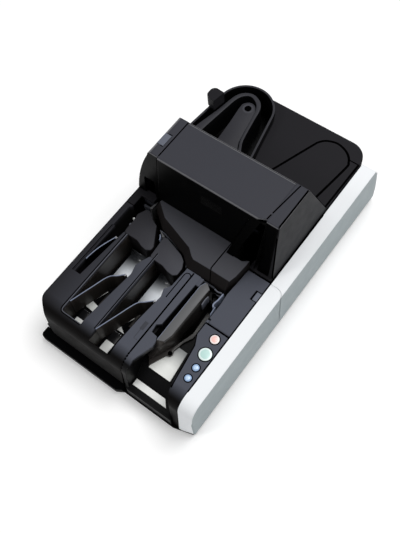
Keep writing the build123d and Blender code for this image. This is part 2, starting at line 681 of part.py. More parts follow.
def turn_guide():
    """Inner wall of the U-turn, on a foot that stands on the well's floor."""
    outer = turn_face(TURN_GUIDE_R, 15.0)
    inner = turn_face(TURN_GUIDE_R - 4.0, 19.0)
    wall = rise(outer - inner, FLOOR_Z, TURN_WALL_Z - 2)
    floor = rise(outer, FLOOR_Z, FLOOR_Z + 2.5)
    return wall + floor - hood_rear_clearance()


ARM_C = (-78.5, 196.0)


def turn_arm():
    """Flat arm across the turn, with the bearing hole of its round end."""
    face = teardrop(ARM_C, 14.0, (-89, TURN_START_Y + 2), (-41, TURN_START_Y + 2))
    arm = rise(face, 94, 98)
    rim = rise(face - offset(face, -2.0), 86, 94)
    return arm + rim - post(*ARM_C, 5.8, 80, 99) - hood_rear_clearance()


LEVER = (-125.3, 174.0)


def turn_lever():
    """Finger lever standing on the outer wall of the turn."""
    plan = make_face(FilletPolyline((-130.6, 166), (-130.6, 185), (-111, 183.5), (-114.5, 162),
                                    radius=[6, 8, 0, 0], close=True))
    grip = rise(plan, TURN_WALL_Z + 0.4, 125)
    pin = post(*LEVER, 2.0, TURN_WALL_Z - 12, TURN_WALL_Z + 0.4)
    return grip + pin


# ---- hood ------------------------------------------------------------------------------
def hood_lid():
    """Top and front wall of the hood in one bent shell, on a full-length barrel."""
    x0, x1 = HOOD_LEFT + 0.6, HOOD_RIGHT - 0.5
    lean = (LID_FRONT_TOP_Y - LID_FRONT_FOOT_Y) / (HOOD_Z - LID_FOOT_Z)
    foot_in = LID_FRONT_FOOT_Y + 2.6
    skin = side_profile([
        (LID_FRONT_FOOT_Y, LID_FOOT_Z), (LID_FRONT_TOP_Y, HOOD_Z), (HINGE_Y, HOOD_Z),
        (HINGE_Y, HOOD_Z - 2.8), (LID_FRONT_TOP_Y + 2.4, HOOD_Z - 2.8),
        (foot_in, LID_FOOT_Z)], x0, x1)
    front_top = skin.edges().filter_by(Axis.X).sort_by(Axis.Z)[-2:].sort_by(Axis.Y)[0]
    lid = fillet(front_top, 3.0)
    barrel = rod_x(x0, x1, HINGE_Y, HINGE_Z, HINGE_R)
    lid += barrel
    for x in (-60, -25, 10, 45):
        lid += side_profile([(9, HOOD_Z - 10), (9, HOOD_Z - 2), (HINGE_Y - 4, HOOD_Z - 2),
                             (HINGE_Y - 4, HOOD_Z - 6)], x - 1, x + 1)
    # slanted cut on the right of the front wall, and the bevelled corner above it
    cut = front_profile([(37.4, LID_FOOT_Z - 1), (60, 181), (HOOD_RIGHT + 1, 181),
                         (HOOD_RIGHT + 1, LID_FOOT_Z - 1)], -10, 11)
    lid -= cut
    lid -= rise(outline([(70, 0), (70, 7.2), (HOOD_RIGHT, 12.5), (90, 12.5), (90, 0)]), 160, 190)
    # ribbed finger grip on the front wall
    for step in range(7):
        z = 150 + 2.2 * step
        y = LID_FRONT_FOOT_Y + lean * (z - LID_FOOT_Z)
        lid -= block(-17, 17, y - 1, y + 0.9, z, z + 1.1)
    bore = rod_x(x0 - 1, x0 + 13, HINGE_Y, HINGE_Z, HINGE_PIN_R + FIT)
    bore += rod_x(x1 - 13, x1 + 1, HINGE_Y, HINGE_Z, HINGE_PIN_R + FIT)
    return lid - bore


def left_cap_face(inset=0.0):
    """End shape of the left cap: its outer side bows out towards the deck."""
    i = inset
    lines = [
        Line((HOOD_LEFT, DECK_Z), (-130.6 + i, DECK_Z)),
        ThreePointArc((-130.6 + i, DECK_Z), (-121.5 + i, 138 - i * 0.3), (-106.5 + i, 178 - i)),
        ThreePointArc((-106.5 + i, 178 - i), (-103.6 + i, 184.6 - i), (-97.0 + i, HOOD_Z - i)),
        Line((-97.0 + i, HOOD_Z - i), (HOOD_LEFT, HOOD_Z - i)),
        Line((HOOD_LEFT, HOOD_Z - i), (HOOD_LEFT, DECK_Z)),
    ]
    return make_face(lines)


LATCH_X0, LATCH_X1, LATCH_Y0, LATCH_Y1 = -103.5, -92.5, 26.0, 46.0


def hood_left_cap():
    form = extrude(Plane.XZ.offset(-130) * left_cap_face(), 140)
    outer = form & side_profile([(2, DECK_Z), (9, HOOD_Z), (HOOD_REAR_TOP_Y, HOOD_Z),
                                 (HOOD_REAR_FOOT_Y, DECK_Z)], -140, HOOD_LEFT)
    hollow = extrude(Plane.XZ.offset(-130) * left_cap_face(WALL), 140)
    inner = hollow & side_profile([(2 + WALL, DECK_Z - 1), (9 + WALL, HOOD_Z - WALL),
                                   (HOOD_REAR_TOP_Y - WALL, HOOD_Z - WALL),
                                   (HOOD_REAR_FOOT_Y - WALL - 1, DECK_Z - 1)],
                                  -140, HOOD_LEFT - WALL)
    cap = outer - inner
    cap -= block(LATCH_X0, LATCH_X1, LATCH_Y0, LATCH_Y1, HOOD_Z - 8, HOOD_Z + 1)
    # way for a cheque on edge, in and out under the cap
    cap -= block(-117, -99, -10, 14, DECK_Z - 1, CHEQUE_TOP_Z)
    cap -= block(-125, -110, 90, 130, DECK_Z - 1, CHEQUE_TOP_Z)
    return cap + rod_x(HOOD_LEFT - 2, HOOD_LEFT + 12, HINGE_Y, HINGE_Z, HINGE_PIN_R)


def latch_button():
    top = block(LATCH_X0 + 0.4, LATCH_X1 - 0.4, LATCH_Y0 + 0.4, LATCH_Y1 - 0.4,
                HOOD_Z - 6, HOOD_Z + 0.0)
    top = chamfer(top.faces().sort_by(Axis.Z)[-1].edges(), 0.5)
    return top + block(LATCH_X0 + 1.5, LATCH_X1 - 1.5, LATCH_Y0 + 4, LATCH_Y1 - 4,
                       HOOD_Z - 12, HOOD_Z - 6)


def right_face(inset=0.0):
    i = inset
    return outline([(HOOD_RIGHT + 0.3 + i, DECK_Z), (HOOD_RIGHT + 0.3 + i, HOOD_Z - i),
                    (100 - i, HOOD_Z - i), (107 - i, DECK_Z)])


def right_side_profile(x0, x1, inset=0.0):
    i = inset
    return side_profile([(-11 + i, DECK_Z), (9.5 + i, HOOD_Z - i),
                         (HOOD_REAR_TOP_Y - i, HOOD_Z - i), (HOOD_REAR_FOOT_Y - i, DECK_Z)],
                        x0, x1)


BAY_REAR_Y, BAY_TOP_Z = 33.0, 180.6        # mouth over the feed path, inside the hood


def hood_right_frame():
    """Fixed right end of the hood, with the fairing beside the mouth of the feed path."""
    outer = extrude(Plane.XZ.offset(-130) * right_face(), 150)
    outer = outer & right_side_profile(60, 120)
    inner = extrude(Plane.XZ.offset(-130) * right_face(WALL), 150)
    inner = inner & right_side_profile(60, 120, WALL)
    shell = outer - inner - block(60, 120, -20, 130, DECK_Z - 1, DECK_Z + 0.4)
    fairing = side_profile([(-19.5, LID_FOOT_Z), (7.2, BAY_TOP_Z), (BAY_REAR_Y, BAY_TOP_Z),
                            (BAY_REAR_Y, LID_FOOT_Z)], 33, HOOD_RIGHT + 0.6)
    fairing &= front_profile([(38.4, LID_FOOT_Z), (HOOD_RIGHT + 0.6, LID_FOOT_Z),
                              (HOOD_RIGHT + 0.6, BAY_TOP_Z), (60.6, BAY_TOP_Z)], -30, 60)
    fairing -= front_profile([(49, LID_FOOT_Z - 1), (HOOD_RIGHT + 0.3, LID_FOOT_Z - 1),
                              (HOOD_RIGHT + 0.3, BAY_TOP_Z - 1.8), (74, BAY_TOP_Z - 1.8)],
                             -30, BAY_REAR_Y - 1.8)
    ring = right_side_profile(98.9, 99.8) - right_side_profile(98, 101, 1.2)
    frame = shell + fairing - ring - block(70.2, 74, -20, 60, DECK_Z, CHEQUE_TOP_Z)
    return frame + rod_x(HOOD_RIGHT - 12, HOOD_RIGHT + 2, HINGE_Y, HINGE_Z, HINGE_PIN_R)


def hood_rear_wall():
    """Sloping back of the hood, below the lid's barrel."""
    wall = side_profile([(76.9, 185), (HOOD_REAR_FOOT_Y, DECK_Z),
                         (HOOD_REAR_FOOT_Y - 3, DECK_Z), (73.9, 185)],
                        HOOD_LEFT + 0.2, HOOD_RIGHT)
    wall -= block(-38, -22, 90, 130, DECK_Z - 1, CHEQUE_TOP_Z)
    return wall - rod_x(HOOD_LEFT, HOOD_RIGHT + 1, HINGE_Y, HINGE_Z, HINGE_R + 0.5)


# ---- parts in the pockets ---------------------------------------------------------------
def bent_plate(points, low, high, thick=1.4):
    """Upright plate that follows a line of points in plan."""
    left, right = [], []
    for (x, y), (fx, fy), (tx, ty) in zip(points, [points[0], *points[:2]], [*points[1:], points[2]]):
        run = hypot(tx - fx, ty - fy)
        dx, dy = (ty - fy) / run * thick / 2, (tx - fx) / run * thick / 2
        left.append((x - dx, y + dy))
        right.append((x + dx, y - dy))
    return rise(outline(left + right[::-1]), low, high)


PLATES = {                   # name: (pivot, knee, tip) in plan
    "pocket_plate_left": [(-58.6, -116.0), (-74, -133), (-90.5, -194)],
    "pocket_plate_right": [(-2.8, -124.0), (-20, -143), (-37, -199)],
    "slot_plate": [(-105.8, -80.0), (-112.5, -99), (-117.5, -135)],
}


def pocket_plate(points):
    """Light bent plate that yields as the pocket fills; it turns on a post."""
    (px, py) = points[0]
    plate = bent_plate(points, FLOOR_Z + 1.2, DECK_Z - 0.3)
    plate -= side_profile([(-230, 40), (-230, 56), (-192, 56), (-165, 40)], -130, 10)
    return plate + post(px, py, POST_R, POST_FOOT_Z, DECK_Z - 0.3)


LEAVES = [                   # line in plan, low, high
    ([(-61.5, -75.5), (-67.0, -81.0), (-71.5, -90.0)], 52, 80),
    ([(-12.5, -88.5), (-17.5, -95.0), (-21.0, -104.0)], 52, 80),
    ([(66.0, -80.5), (67.2, -86.0), (67.4, -92.0)], 60, 85),
]


def leaf_springs():
    """Polished leaves that steer a cheque to the far side of its way."""
    return Compound(children=[bent_plate(line, low, high, 0.8) for line, low, high in LEAVES])


GATES = {                    # name: (x, y, heading in degrees, length)
    "sorting_gate_left": (-96.5, -13.0, 80, 12.0),
    "sorting_gate_right": (-54.6, -39.8, 150, 9.0),
}


def sorting_gate(x, y, heading, length):
    """Slim flap on an upright shaft that turns a cheque into a pocket."""
    vane = outline([(-1.5, 1.6), (-1.5, -1.6), (length, -0.5), (length, 0.5)])
    body = rise(Pos(x, y) * Rot(0, 0, heading) * vane, FLOOR_Z + 1, DECK_Z - 5)
    return body + post(x, y, POST_R, POST_FOOT_Z, DECK_Z - 5)


# ---- inside ------------------------------------------------------------------------------
def path_floor():
    """Plate under the paper path inside the hood, on posts from the base."""
    plate = block(-127.5, 101, -24, 111.5, FLOOR_Z - FLOOR_PLATE, FLOOR_Z)
    plate -= block(5, 120, -40, -14, 0, 60)
    plate -= block(71.6, 120, -40, 1, 0, 60)
    for x, y in ((-112, 0), (-112, 104), (58, 2), (58, 104)):
        plate += block(x - 4, x + 4, y - 4, y + 4, PAN_TOP, FLOOR_Z - FLOOR_PLATE)
    x, y = GATES["sorting_gate_left"][:2]
    return plate - post(x, y, POST_R + FIT, FLOOR_Z - BEARING_DEPTH, FLOOR_Z + 1)


def inner_guide():
    """Block between the two legs of the paper path, under the hood's lid."""
    plan = outline([(-84, 16), (-84, 98), (-20, 98), (20, 94), (50, 70), (50, 40), (30, 32),
                    (30, 16)])
    body = rise(plan, FLOOR_Z, 120)
    body = chamfer(body.faces().sort_by(Axis.Z)[-1].edges(), 1.5)
    body -= rise(offset(plan, -3.0), FLOOR_Z - 1, 116)
    for x in (-60, -30, 0, 30):
        body -= block(x - 9, x + 9, 40, 84, 115, 121)
    return body


def image_sensor(x0, x1):
    """Line sensor block with a glass window beside the path."""
    return block(x0, x1, 36, 60, FLOOR_Z, 118)


def main_circuit_board():
    board = block(-12, 60, 118, 205, 12.0, 13.6)
    for x, y in ((5, 165), (25, 140), (40, 185)):
        board += block(x - 8, x + 8, y - 8, y + 8, 13.6, 16)
    for x in (-8, 56):
        for y in (122, 201):
            board += block(x - 3, x + 3, y - 3, y + 3, PAN_TOP, 12.0)
    return board


def power_supply():
    return block(66, 102, 62, 190, PAN_TOP, 40)


def drive_motor():
    return post(*MOTOR, 11.5, 10.0, BEARING_PLATE_Z[0])


def motor_pulley():
    shaft = post(*MOTOR, SHAFT_R, BEARING_PLATE_Z[0] + 0.2, PULLEY_Z[0])
    return shaft + post(*MOTOR, MOTOR_PULLEY_R, *PULLEY_Z)


ROCKER = (37.0, 41.0)         # x, z of the power switch
ROCKER_Y = REAR_Y - 6.0


def mains_inlet():
    """Mains inlet with three pins, and the frame of the rocker switch beside it."""
    body = block(-39.8, -14.2, REAR_Y - 22, REAR_Y - 0.3, 30.2, 51.8)
    body -= block(-36.5, -17.5, REAR_Y - 16, REAR_Y + 1, 33.5, 48.5)
    for x, z in ((-27, 45), (-31.5, 38), (-22.5, 38)):
        body += block(x - 1, x + 1, REAR_Y - 16, REAR_Y - 7, z - 2, z + 2)
    x, z = ROCKER
    frame = block(x - 6.8, x + 6.8, REAR_Y - 14, REAR_Y - 0.3, z - 10.8, z + 10.8)
    frame -= block(x - 5.2, x + 5.2, REAR_Y - 11, REAR_Y + 1, z - 9, z + 9)
    frame -= rod_x(x - 6.3, x + 6.3, ROCKER_Y, z, 1.0 + FIT)
    return Compound(children=[body, frame])


def data_socket():
    body = block(0.2, 13.8, REAR_Y - 14, REAR_Y - 0.3, 34.2, 46.8)
    body -= block(2.2, 11.8, REAR_Y - 11, REAR_Y + 1, 36.2, 44.8)
    return body + block(4.2, 9.8, REAR_Y - 11, REAR_Y - 7, 39, 42)


def power_switch():
    x, z = ROCKER
    y = ROCKER_Y
    face = side_profile([(y - 2, z - 7.2), (y + 2.6, z - 7.4), (y + 3.6, z), (y + 5.2, z + 7.4),
                         (y - 2, z + 7.2)], x - 4.8, x + 4.8)
    return face + rod_x(x - 6.1, x + 6.1, y, z, 1.0)


# ---- write every piece -----------------------------------------------------------------
def pieces():
    made = {
        "base_pan": base_pan(),
        "rubber_feet": rubber_feet(),
        "pocket_housing": pocket_housing(),
        "pocket_floor": pocket_floor(),
        "pocket_floor_plates": pocket_floor_plates(),
        "guide_island_left": island(ISLAND_LEFT, ISLAND_LEFT_RADII),
        "guide_island_middle": island(ISLAND_MIDDLE, ISLAND_MIDDLE_RADII),
        "transport_block": transport_block(),
        "path_block": path_block(),
        "hopper_housing": hopper_housing(),
        "hopper_floor_plates": hopper_floor_plates(),
        "hopper_pusher": hopper_pusher(),
        "control_panel": control_panel(),
        "button_board": button_board(),
        "feeder_cover": feeder_cover(),
        "release_button": release_button(),
        "feeder_frame": feeder_frame(),
        "feed_roller": feed_roller(*FEED),
        "pickup_roller": feed_roller(*PICKUP),
        "retard_roller": retard_roller(),
        "feed_belt": feed_belt(),
        "side_cover_front": side_cover_front(),
        "side_cover_rear": side_cover(rear_region()),
        "side_panel_front": side_panel(front_region()),
        "side_panel_rear": side_panel(rear_region()),
        "rear_housing": rear_housing(),
        "turn_housing": turn_housing(),
        "rear_path_cover": rear_path_cover(),
        "turn_guide": turn_guide(),
        "turn_arm": turn_arm(),
        "turn_lever": turn_lever(),
        "hood_lid": hood_lid(),
        "hood_left_cap": hood_left_cap(),
        "latch_button": latch_button(),
        "hood_right_frame": hood_right_frame(),
        "hood_rear_wall": hood_rear_wall(),
        "path_floor": path_floor(),
        "inner_guide": inner_guide(),
        "leaf_springs": leaf_springs(),
        "image_sensor_front": image_sensor(56, 70.4),
        "image_sensor_back": image_sensor(74.4, 81),
        "main_circuit_board": main_circuit_board(),
        "power_supply": power_supply(),
        "drive_motor": drive_motor(),
        "motor_pulley": motor_pulley(),
        "mains_inlet_and_switch_frame": mains_inlet(),
        "data_socket": data_socket(),
        "power_switch": power_switch(),
    }
    for name, (x, y, r) in BUTTONS.items():
        made[name] = panel_button(x, y, r)
    for name, points in PLATES.items():
        made[name] = pocket_plate(points)
    for name, place in GATES.items():
        made[name] = sorting_gate(*place)
    return made


os.makedirs("parts", exist_ok=True)
for node, shape in pieces().items():
    export_step(shape, "parts/" + node + ".step")
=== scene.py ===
import json
import math

import bmesh
import bpy
from mathutils import Matrix, Vector


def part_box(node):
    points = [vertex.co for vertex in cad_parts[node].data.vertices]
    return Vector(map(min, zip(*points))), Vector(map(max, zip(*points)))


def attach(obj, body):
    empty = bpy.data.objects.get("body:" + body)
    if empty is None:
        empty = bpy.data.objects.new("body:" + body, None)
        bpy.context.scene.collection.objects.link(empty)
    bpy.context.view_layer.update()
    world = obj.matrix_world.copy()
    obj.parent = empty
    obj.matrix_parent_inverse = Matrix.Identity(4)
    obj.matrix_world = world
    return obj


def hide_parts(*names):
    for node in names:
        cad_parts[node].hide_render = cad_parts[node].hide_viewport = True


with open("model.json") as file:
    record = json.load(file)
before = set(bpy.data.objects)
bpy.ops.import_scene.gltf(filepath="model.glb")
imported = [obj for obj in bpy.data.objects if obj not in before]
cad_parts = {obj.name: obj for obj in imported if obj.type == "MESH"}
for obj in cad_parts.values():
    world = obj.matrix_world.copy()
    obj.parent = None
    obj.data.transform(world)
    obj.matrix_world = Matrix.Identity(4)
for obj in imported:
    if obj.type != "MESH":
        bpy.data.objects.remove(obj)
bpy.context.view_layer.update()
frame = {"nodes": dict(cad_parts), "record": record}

NODES = frame["nodes"]
SCENE = bpy.context.scene


# ---- camera ------------------------------------------------------------------------
CAMERA_AT = Vector((0.33370, -0.38000, 0.97480))
ELEVATION = math.radians(62.7148)
AZIMUTH = math.radians(43.8378)
ROLL = math.radians(7.9362)
LENS = 50.38
SENSOR_WIDTH = 36.0
NEAREST, FURTHEST = 0.05, 20


def make_camera():
    """Camera at the photograph's place, rolled about its line of sight."""
    back = Vector((math.sin(AZIMUTH) * math.cos(ELEVATION),
                   -math.cos(AZIMUTH) * math.cos(ELEVATION), math.sin(ELEVATION)))
    right = (-back).cross(Vector((0, 0, 1))).normalized()
    down = (-back).cross(right)
    image_right = math.cos(ROLL) * right + math.sin(ROLL) * down
    image_down = -math.sin(ROLL) * right + math.cos(ROLL) * down
    turn = Matrix((image_right, -image_down, back)).transposed()
    data = bpy.data.cameras.new("camera")
    data.lens = LENS
    data.sensor_width = SENSOR_WIDTH
    data.clip_start = NEAREST
    data.clip_end = FURTHEST
    camera = bpy.data.objects.new("camera", data)
    camera.matrix_world = Matrix.Translation(CAMERA_AT) @ turn.to_4x4()
    SCENE.collection.objects.link(camera)
    SCENE.camera = camera


# ---- node helpers --------------------------------------------------------------------
NOISE_LOW, NOISE_HIGH = 0.3, 0.7         # the part of a noise's range that is used
BEVEL_SAMPLES = 6
MIX_FIRST, MIX_SECOND, MIX_RESULT = 6, 7, 2      # colour sockets of a mix node


class Shader:
    """A material's node tree with short calls for the nodes that are used often."""

    def __init__(self, name):
        self.material = bpy.data.materials.new(name)
        self.material.use_nodes = True
        self.tree = self.material.node_tree
        self.bsdf = self.tree.nodes["Principled BSDF"]
        self.coords = self.tree.nodes.new("ShaderNodeTexCoord").outputs["Object"]

    def set(self, **values):
        for key, value in values.items():
            self.bsdf.inputs[key.replace("_", " ")].default_value = value

    def link(self, output, node_input):
        self.tree.links.new(output, node_input)

    def feed(self, key, output):
        """Links an output to one of the surface's own sockets."""
        self.link(output, self.bsdf.inputs[key])

    def stretched(self, scale):
        node = self.tree.nodes.new("ShaderNodeMapping")
        node.inputs["Scale"].default_value = scale
        self.link(self.coords, node.inputs["Vector"])
        return node.outputs["Vector"]

    def noise(self, scale, detail=2.0, vector=None, roughness=0.5):
        node = self.tree.nodes.new("ShaderNodeTexNoise")
        node.inputs["Scale"].default_value = scale
        node.inputs["Detail"].default_value = detail
        node.inputs["Roughness"].default_value = roughness
        self.link(vector or self.coords, node.inputs["Vector"])
        return node.outputs["Fac"]

    def along(self, axis, start, end):
        """0 up to start and 1 from end, measured along one axis of the object, in metres."""
        split = self.tree.nodes.new("ShaderNodeSeparateXYZ")
        self.link(self.coords, split.inputs["Vector"])
        return self.numbers(split.outputs[axis], 0.0, 1.0, start, end)

    def from_axis(self):
        """Distance from the object's own upright axis, in metres."""
        node = self.tree.nodes.new("ShaderNodeVectorMath")
        node.operation = "LENGTH"
        self.link(self.stretched((1, 1, 0)), node.inputs[0])
        return node.outputs["Value"]

    def mix(self, factor, first, second):
        """Colour that goes from first to second; each is a socket or a tuple."""
        node = self.tree.nodes.new("ShaderNodeMix")
        node.data_type = "RGBA"
        self.link(factor, node.inputs["Factor"])
        for key, value in ((MIX_FIRST, first), (MIX_SECOND, second)):
            if isinstance(value, tuple):
                node.inputs[key].default_value = (*value, 1)
            else:
                self.link(value, node.inputs[key])
        return node.outputs[MIX_RESULT]

    def colours(self, factor, low, high):
        """Colour that goes from low to high over the used part of a noise's range."""
        node = self.tree.nodes.new("ShaderNodeValToRGB")
        first, last = node.color_ramp.elements
        first.position, first.color = NOISE_LOW, (*low, 1)
        last.position, last.color = NOISE_HIGH, (*high, 1)
        self.link(factor, node.inputs["Fac"])
        return node.outputs["Color"]

    def numbers(self, factor, low, high, start=NOISE_LOW, end=NOISE_HIGH):
        """Number that goes from low to high as the factor goes from start to end."""
        node = self.tree.nodes.new("ShaderNodeMapRange")
        for key, value in (("From Min", start), ("From Max", end), ("To Min", low),
                           ("To Max", high)):
            node.inputs[key].default_value = value
        self.link(factor, node.inputs["Value"])
        return node.outputs["Result"]

    def bump(self, height, distance, normal=None):
        node = self.tree.nodes.new("ShaderNodeBump")
        node.inputs["Distance"].default_value = distance
        node.inputs["Strength"].default_value = 1.0
        self.link(height, node.inputs["Height"])
        if normal:
            self.link(normal, node.inputs["Normal"])
        return node.outputs["Normal"]

    def bevel(self, radius):
        """Normal that rounds edges off; it goes into a bump."""
        node = self.tree.nodes.new("ShaderNodeBevel")
        node.samples = BEVEL_SAMPLES
        node.inputs["Radius"].default_value = radius
        return node.outputs["Normal"]


def shade(colour, factor):
    return tuple(min(1.0, c * factor) for c in colour)


# ---- kinds of material ---------------------------------------------------------------
IOR_PER_SHINE = 0.9


def plastic(name, colour, roughness=0.45, grain=0.00004, spread=0.06, edge=0.0006, zones=(),
            shine=0.25):
    """Moulded plastic: fine spark-eroded grain, slight colour drift, softened edges.

    A zone (axis, start, end, colour) goes over to another tone along that axis; the zones paint light
    and shade. A shine of 0 takes away all gloss."""
    s = Shader(name)
    s.set(IOR=1.0 + IOR_PER_SHINE * shine)
    drift = s.noise(scale=9.0, detail=3.0)
    tone = s.colours(drift, shade(colour, 1 - spread), shade(colour, 1 + spread))
    for axis, start, end, other in zones:
        tone = s.mix(s.along(axis, start, end), tone, other)
    s.feed("Base Color", tone)
    wear = s.noise(scale=60.0, detail=4.0)
    s.feed("Roughness", s.numbers(wear, roughness - 0.04, roughness + 0.06))
    erosion = s.noise(scale=1400.0)
    s.feed("Normal", s.bump(erosion, grain, s.bevel(edge)))
    return s.material


def metal(name, colour, roughness=0.3, brushed=(30.0, 30.0, 1400.0)):
    """Bright sheet or turned metal with fine lines along it."""
    s = Shader(name)
    s.set(Metallic=1.0)
    lines = s.noise(scale=1.0, detail=3.0, vector=s.stretched(brushed), roughness=0.6)
    s.feed("Base Color", s.colours(lines, shade(colour, 0.86), shade(colour, 1.08)))
    s.feed("Roughness", s.numbers(lines, roughness - 0.06, roughness + 0.08))
    s.feed("Normal", s.bump(lines, distance=0.00002, normal=s.bevel(radius=0.0003)))
    return s.material


def rubber(name, colour):
    """Matt rubber with dust in its pores."""
    s = Shader(name)
    dust = s.noise(scale=150.0, detail=5.0)
    s.feed("Base Color", s.colours(dust, shade(colour, 0.7), shade(colour, 1.5)))
    wear = s.noise(scale=320.0, detail=3.0)
    s.feed("Roughness", s.numbers(wear, 0.7, 0.9))
    pores = s.noise(scale=2200.0, detail=3.0)
    s.feed("Normal", s.bump(pores, distance=0.0001, normal=s.bevel(radius=0.0005)))
    return s.material


def circuit_board(name):
    """Solder mask over faint copper tracks."""
    s = Shader(name)
    brick = s.tree.nodes.new("ShaderNodeTexBrick")
    for key, value in (("Scale", 120.0), ("Color1", (0.01, 0.10, 0.045, 1)),
                       ("Color2", (0.012, 0.13, 0.055, 1)), ("Mortar", (0.03, 0.2, 0.09, 1)),
                       ("Mortar Size", 0.03)):
        brick.inputs[key].default_value = value
    s.link(s.coords, brick.inputs["Vector"])
    s.feed("Base Color", brick.outputs["Color"])
    s.feed("Roughness", s.numbers(s.noise(scale=500.0), 0.3, 0.45))
    s.feed("Normal", s.bump(brick.outputs["Fac"], distance=0.00004))
    return s.material


def clear_cap(name, colour, rim, inner, outer):
    """Push-button cap, whose colour goes over to that of the rim from inner to outer radius."""
    s = Shader(name)
    s.set(Roughness=0.28, Coat_Weight=0.35, Coat_Roughness=0.12)
    clouds = s.noise(scale=120.0, detail=3.0)
    tint = s.colours(clouds, shade(colour, 0.97), shade(colour, 1.03))
    tint = s.mix(s.numbers(s.from_axis(), 0.0, 1.0, inner, outer), tint, rim)
    s.feed("Base Color", tint)
    s.feed("Normal", s.bump(s.noise(scale=1800.0), 0.00002, s.bevel(radius=0.0004)))
    return s.material


def brown_gloss(name, dark, light):
    """Glossy brown sheet with fine upright drawing lines."""
    s = Shader(name)
    s.set(IOR=1.35)
    lines = s.noise(scale=1.0, detail=3.0, vector=s.stretched((500.0, 500.0, 9.0)),
                    roughness=0.6)
    s.feed("Base Color", s.colours(lines, dark, light))
    s.feed("Roughness", s.numbers(lines, 0.32, 0.38))
    s.feed("Normal", s.bump(lines, distance=0.000002, normal=s.bevel(radius=0.0002)))
    return s.material


# ---- colours and the heights at which they change ----------------------------------------
# Painted light and shade on black plastic: the top tones are painted light on tops, the far tone is
# that light fading towards the left, and the front tone is painted shade on the deck's front slope.
DECK_TOP = (0.072, 0.077, 0.096)
DECK_FAR_SHADE = (0.013, 0.012, 0.013)
DECK_FRONT_SHADE = (0.004, 0.0035, 0.0035)
DECK_WALL = (0.006, 0.0055, 0.0055)
ISLAND_TOP = (0.060, 0.061, 0.071)
BLOCK_TOP = (0.050, 0.051, 0.060)
BLOCK_WALL = (0.010, 0.0085, 0.0085)
# Painted light on the rear deck's tops, dimmer than on the front deck.
REAR_TOP = (0.017, 0.0165, 0.0190)
# Painted light on the hood's top, a painted highlight along its rounded top edges, and painted shade
# on its walls, darker than the plain black.
HOOD_TOP = (0.044, 0.045, 0.054)
HOOD_EDGE_HIGHLIGHT = (0.14, 0.14, 0.15)
HOOD_WALL = (0.0005, 0.0005, 0.0005)
# Painted light on the hood's right end face, lit from the side.
CAP_FACE = (0.020, 0.020, 0.022)
BLACK = (0.0025, 0.0025, 0.003)
WHITE = (0.83, 0.85, 0.87)
PALE_GREY = (0.29, 0.335, 0.35)
KEY_GREY = (0.115, 0.125, 0.155)
PLATE_BROWN = (0.040, 0.034, 0.030)
PLATE_EDGE = (0.20, 0.23, 0.31)
PUSHER_TOP = (0.105, 0.106, 0.110)
# Painted light on the U-turn's tops, on its arm and, half as light again, on the rim of the arm's
# bore.
TURN_TOP = (0.033, 0.033, 0.039)
# Painted light and shade on the pusher's web: lit towards the front, shaded towards the rear.
WEB_PAINTED_SHADE = (0.010, 0.009, 0.0085)
WEB_PAINTED_LIGHT = (0.040, 0.036, 0.033)

DECK_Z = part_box("pocket_housing")[1].z
HOOD_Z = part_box("hood_lid")[1].z
BLOCK_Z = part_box("transport_block")[1].z
TURN_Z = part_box("turn_housing")[1].z
CAP_FACE_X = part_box("hood_right_frame")[1].x


def below(height, start, end, colour):
    """Zone in which a wall goes over to its top's painted light tone, from start to end under a
    height.
    """
    return ("Z", height - start, height - end, colour)


def deck_plastic(name, top, depth=0.010):
    """Painted light makes the top grey over the black walls; that light fades towards the left, and
    painted shade darkens the slope at the front.
    """
    return plastic(name, DECK_WALL, 0.42, edge=0.0008, shine=0.13,
                   zones=[below(DECK_Z, depth, 0.0008, top),
                          ("X", -0.005, -0.150, DECK_FAR_SHADE),
                          ("Y", -0.196, -0.214, DECK_FRONT_SHADE)])


# ---- the materials -------------------------------------------------------------------------
# Painted highlight band round the hood's rounded top edges, then painted light on its top.
HOOD_ZONES = [below(HOOD_Z, 0.0034, 0.0026, HOOD_EDGE_HIGHLIGHT), below(HOOD_Z, 0.0010, 0.0004, HOOD_TOP)]
FINISHES = {                 # by the record's material slots
    "deck": deck_plastic("deck_plastic", DECK_TOP),
    # Painted light on the rear deck's top over black walls.
    "deck_rear": plastic("rear_plastic", DECK_WALL, 0.42, edge=0.0008, shine=0.12,
                         zones=[below(DECK_Z, 0.003, 0.0006, REAR_TOP)]),
    "hood": plastic("hood_plastic", HOOD_WALL, 0.36, grain=0.00001, edge=0.0016, shine=0.15,
                    zones=HOOD_ZONES),
    "black": plastic("black_plastic", BLACK, 0.35, shine=0.08),
    "white": plastic("white_plastic", WHITE, 0.42, grain=0.00002, spread=0.012, edge=0.0012,
                     shine=0.12),
    "grey": plastic("pale_grey_plastic", PALE_GREY, 0.40, grain=0.00002, spread=0.02),
    "button_grey": plastic("key_plastic", KEY_GREY, 0.4, grain=0.00002),
    "pusher": plastic("pusher_plastic", PUSHER_TOP, 0.35),
    "plate": metal("bright_plate", (0.66, 0.68, 0.72)),
    "steel": metal("turned_steel", (0.52, 0.52, 0.54)),
    "motor": metal("motor_can", (0.42, 0.42, 0.44), 0.38, brushed=(900.0, 900.0, 40.0)),
    "zinc": metal("zinc_plate", (0.5, 0.51, 0.53), 0.45, brushed=(180.0, 180.0, 180.0)),
    "sheet": plastic("pale_sheet", (0.86, 0.87, 0.85), 0.3, grain=0.00001, spread=0.01),
    "rubber": rubber("black_rubber", (0.02, 0.02, 0.021)),
    "board": circuit_board("green_board"),
    "sensor": plastic("sensor_black", (0.008, 0.008, 0.009), 0.18, grain=0.00001),
}
# Painted light on the block's top, over its dark walls.
BLOCK_PLASTIC = plastic("block_plastic", BLOCK_WALL, 0.45, edge=0.0010,
                        zones=[below(BLOCK_Z, 0.0008, 0.0003, BLOCK_TOP)])
ISLAND_PLASTIC = deck_plastic("island_plastic", ISLAND_TOP, depth=0.002)
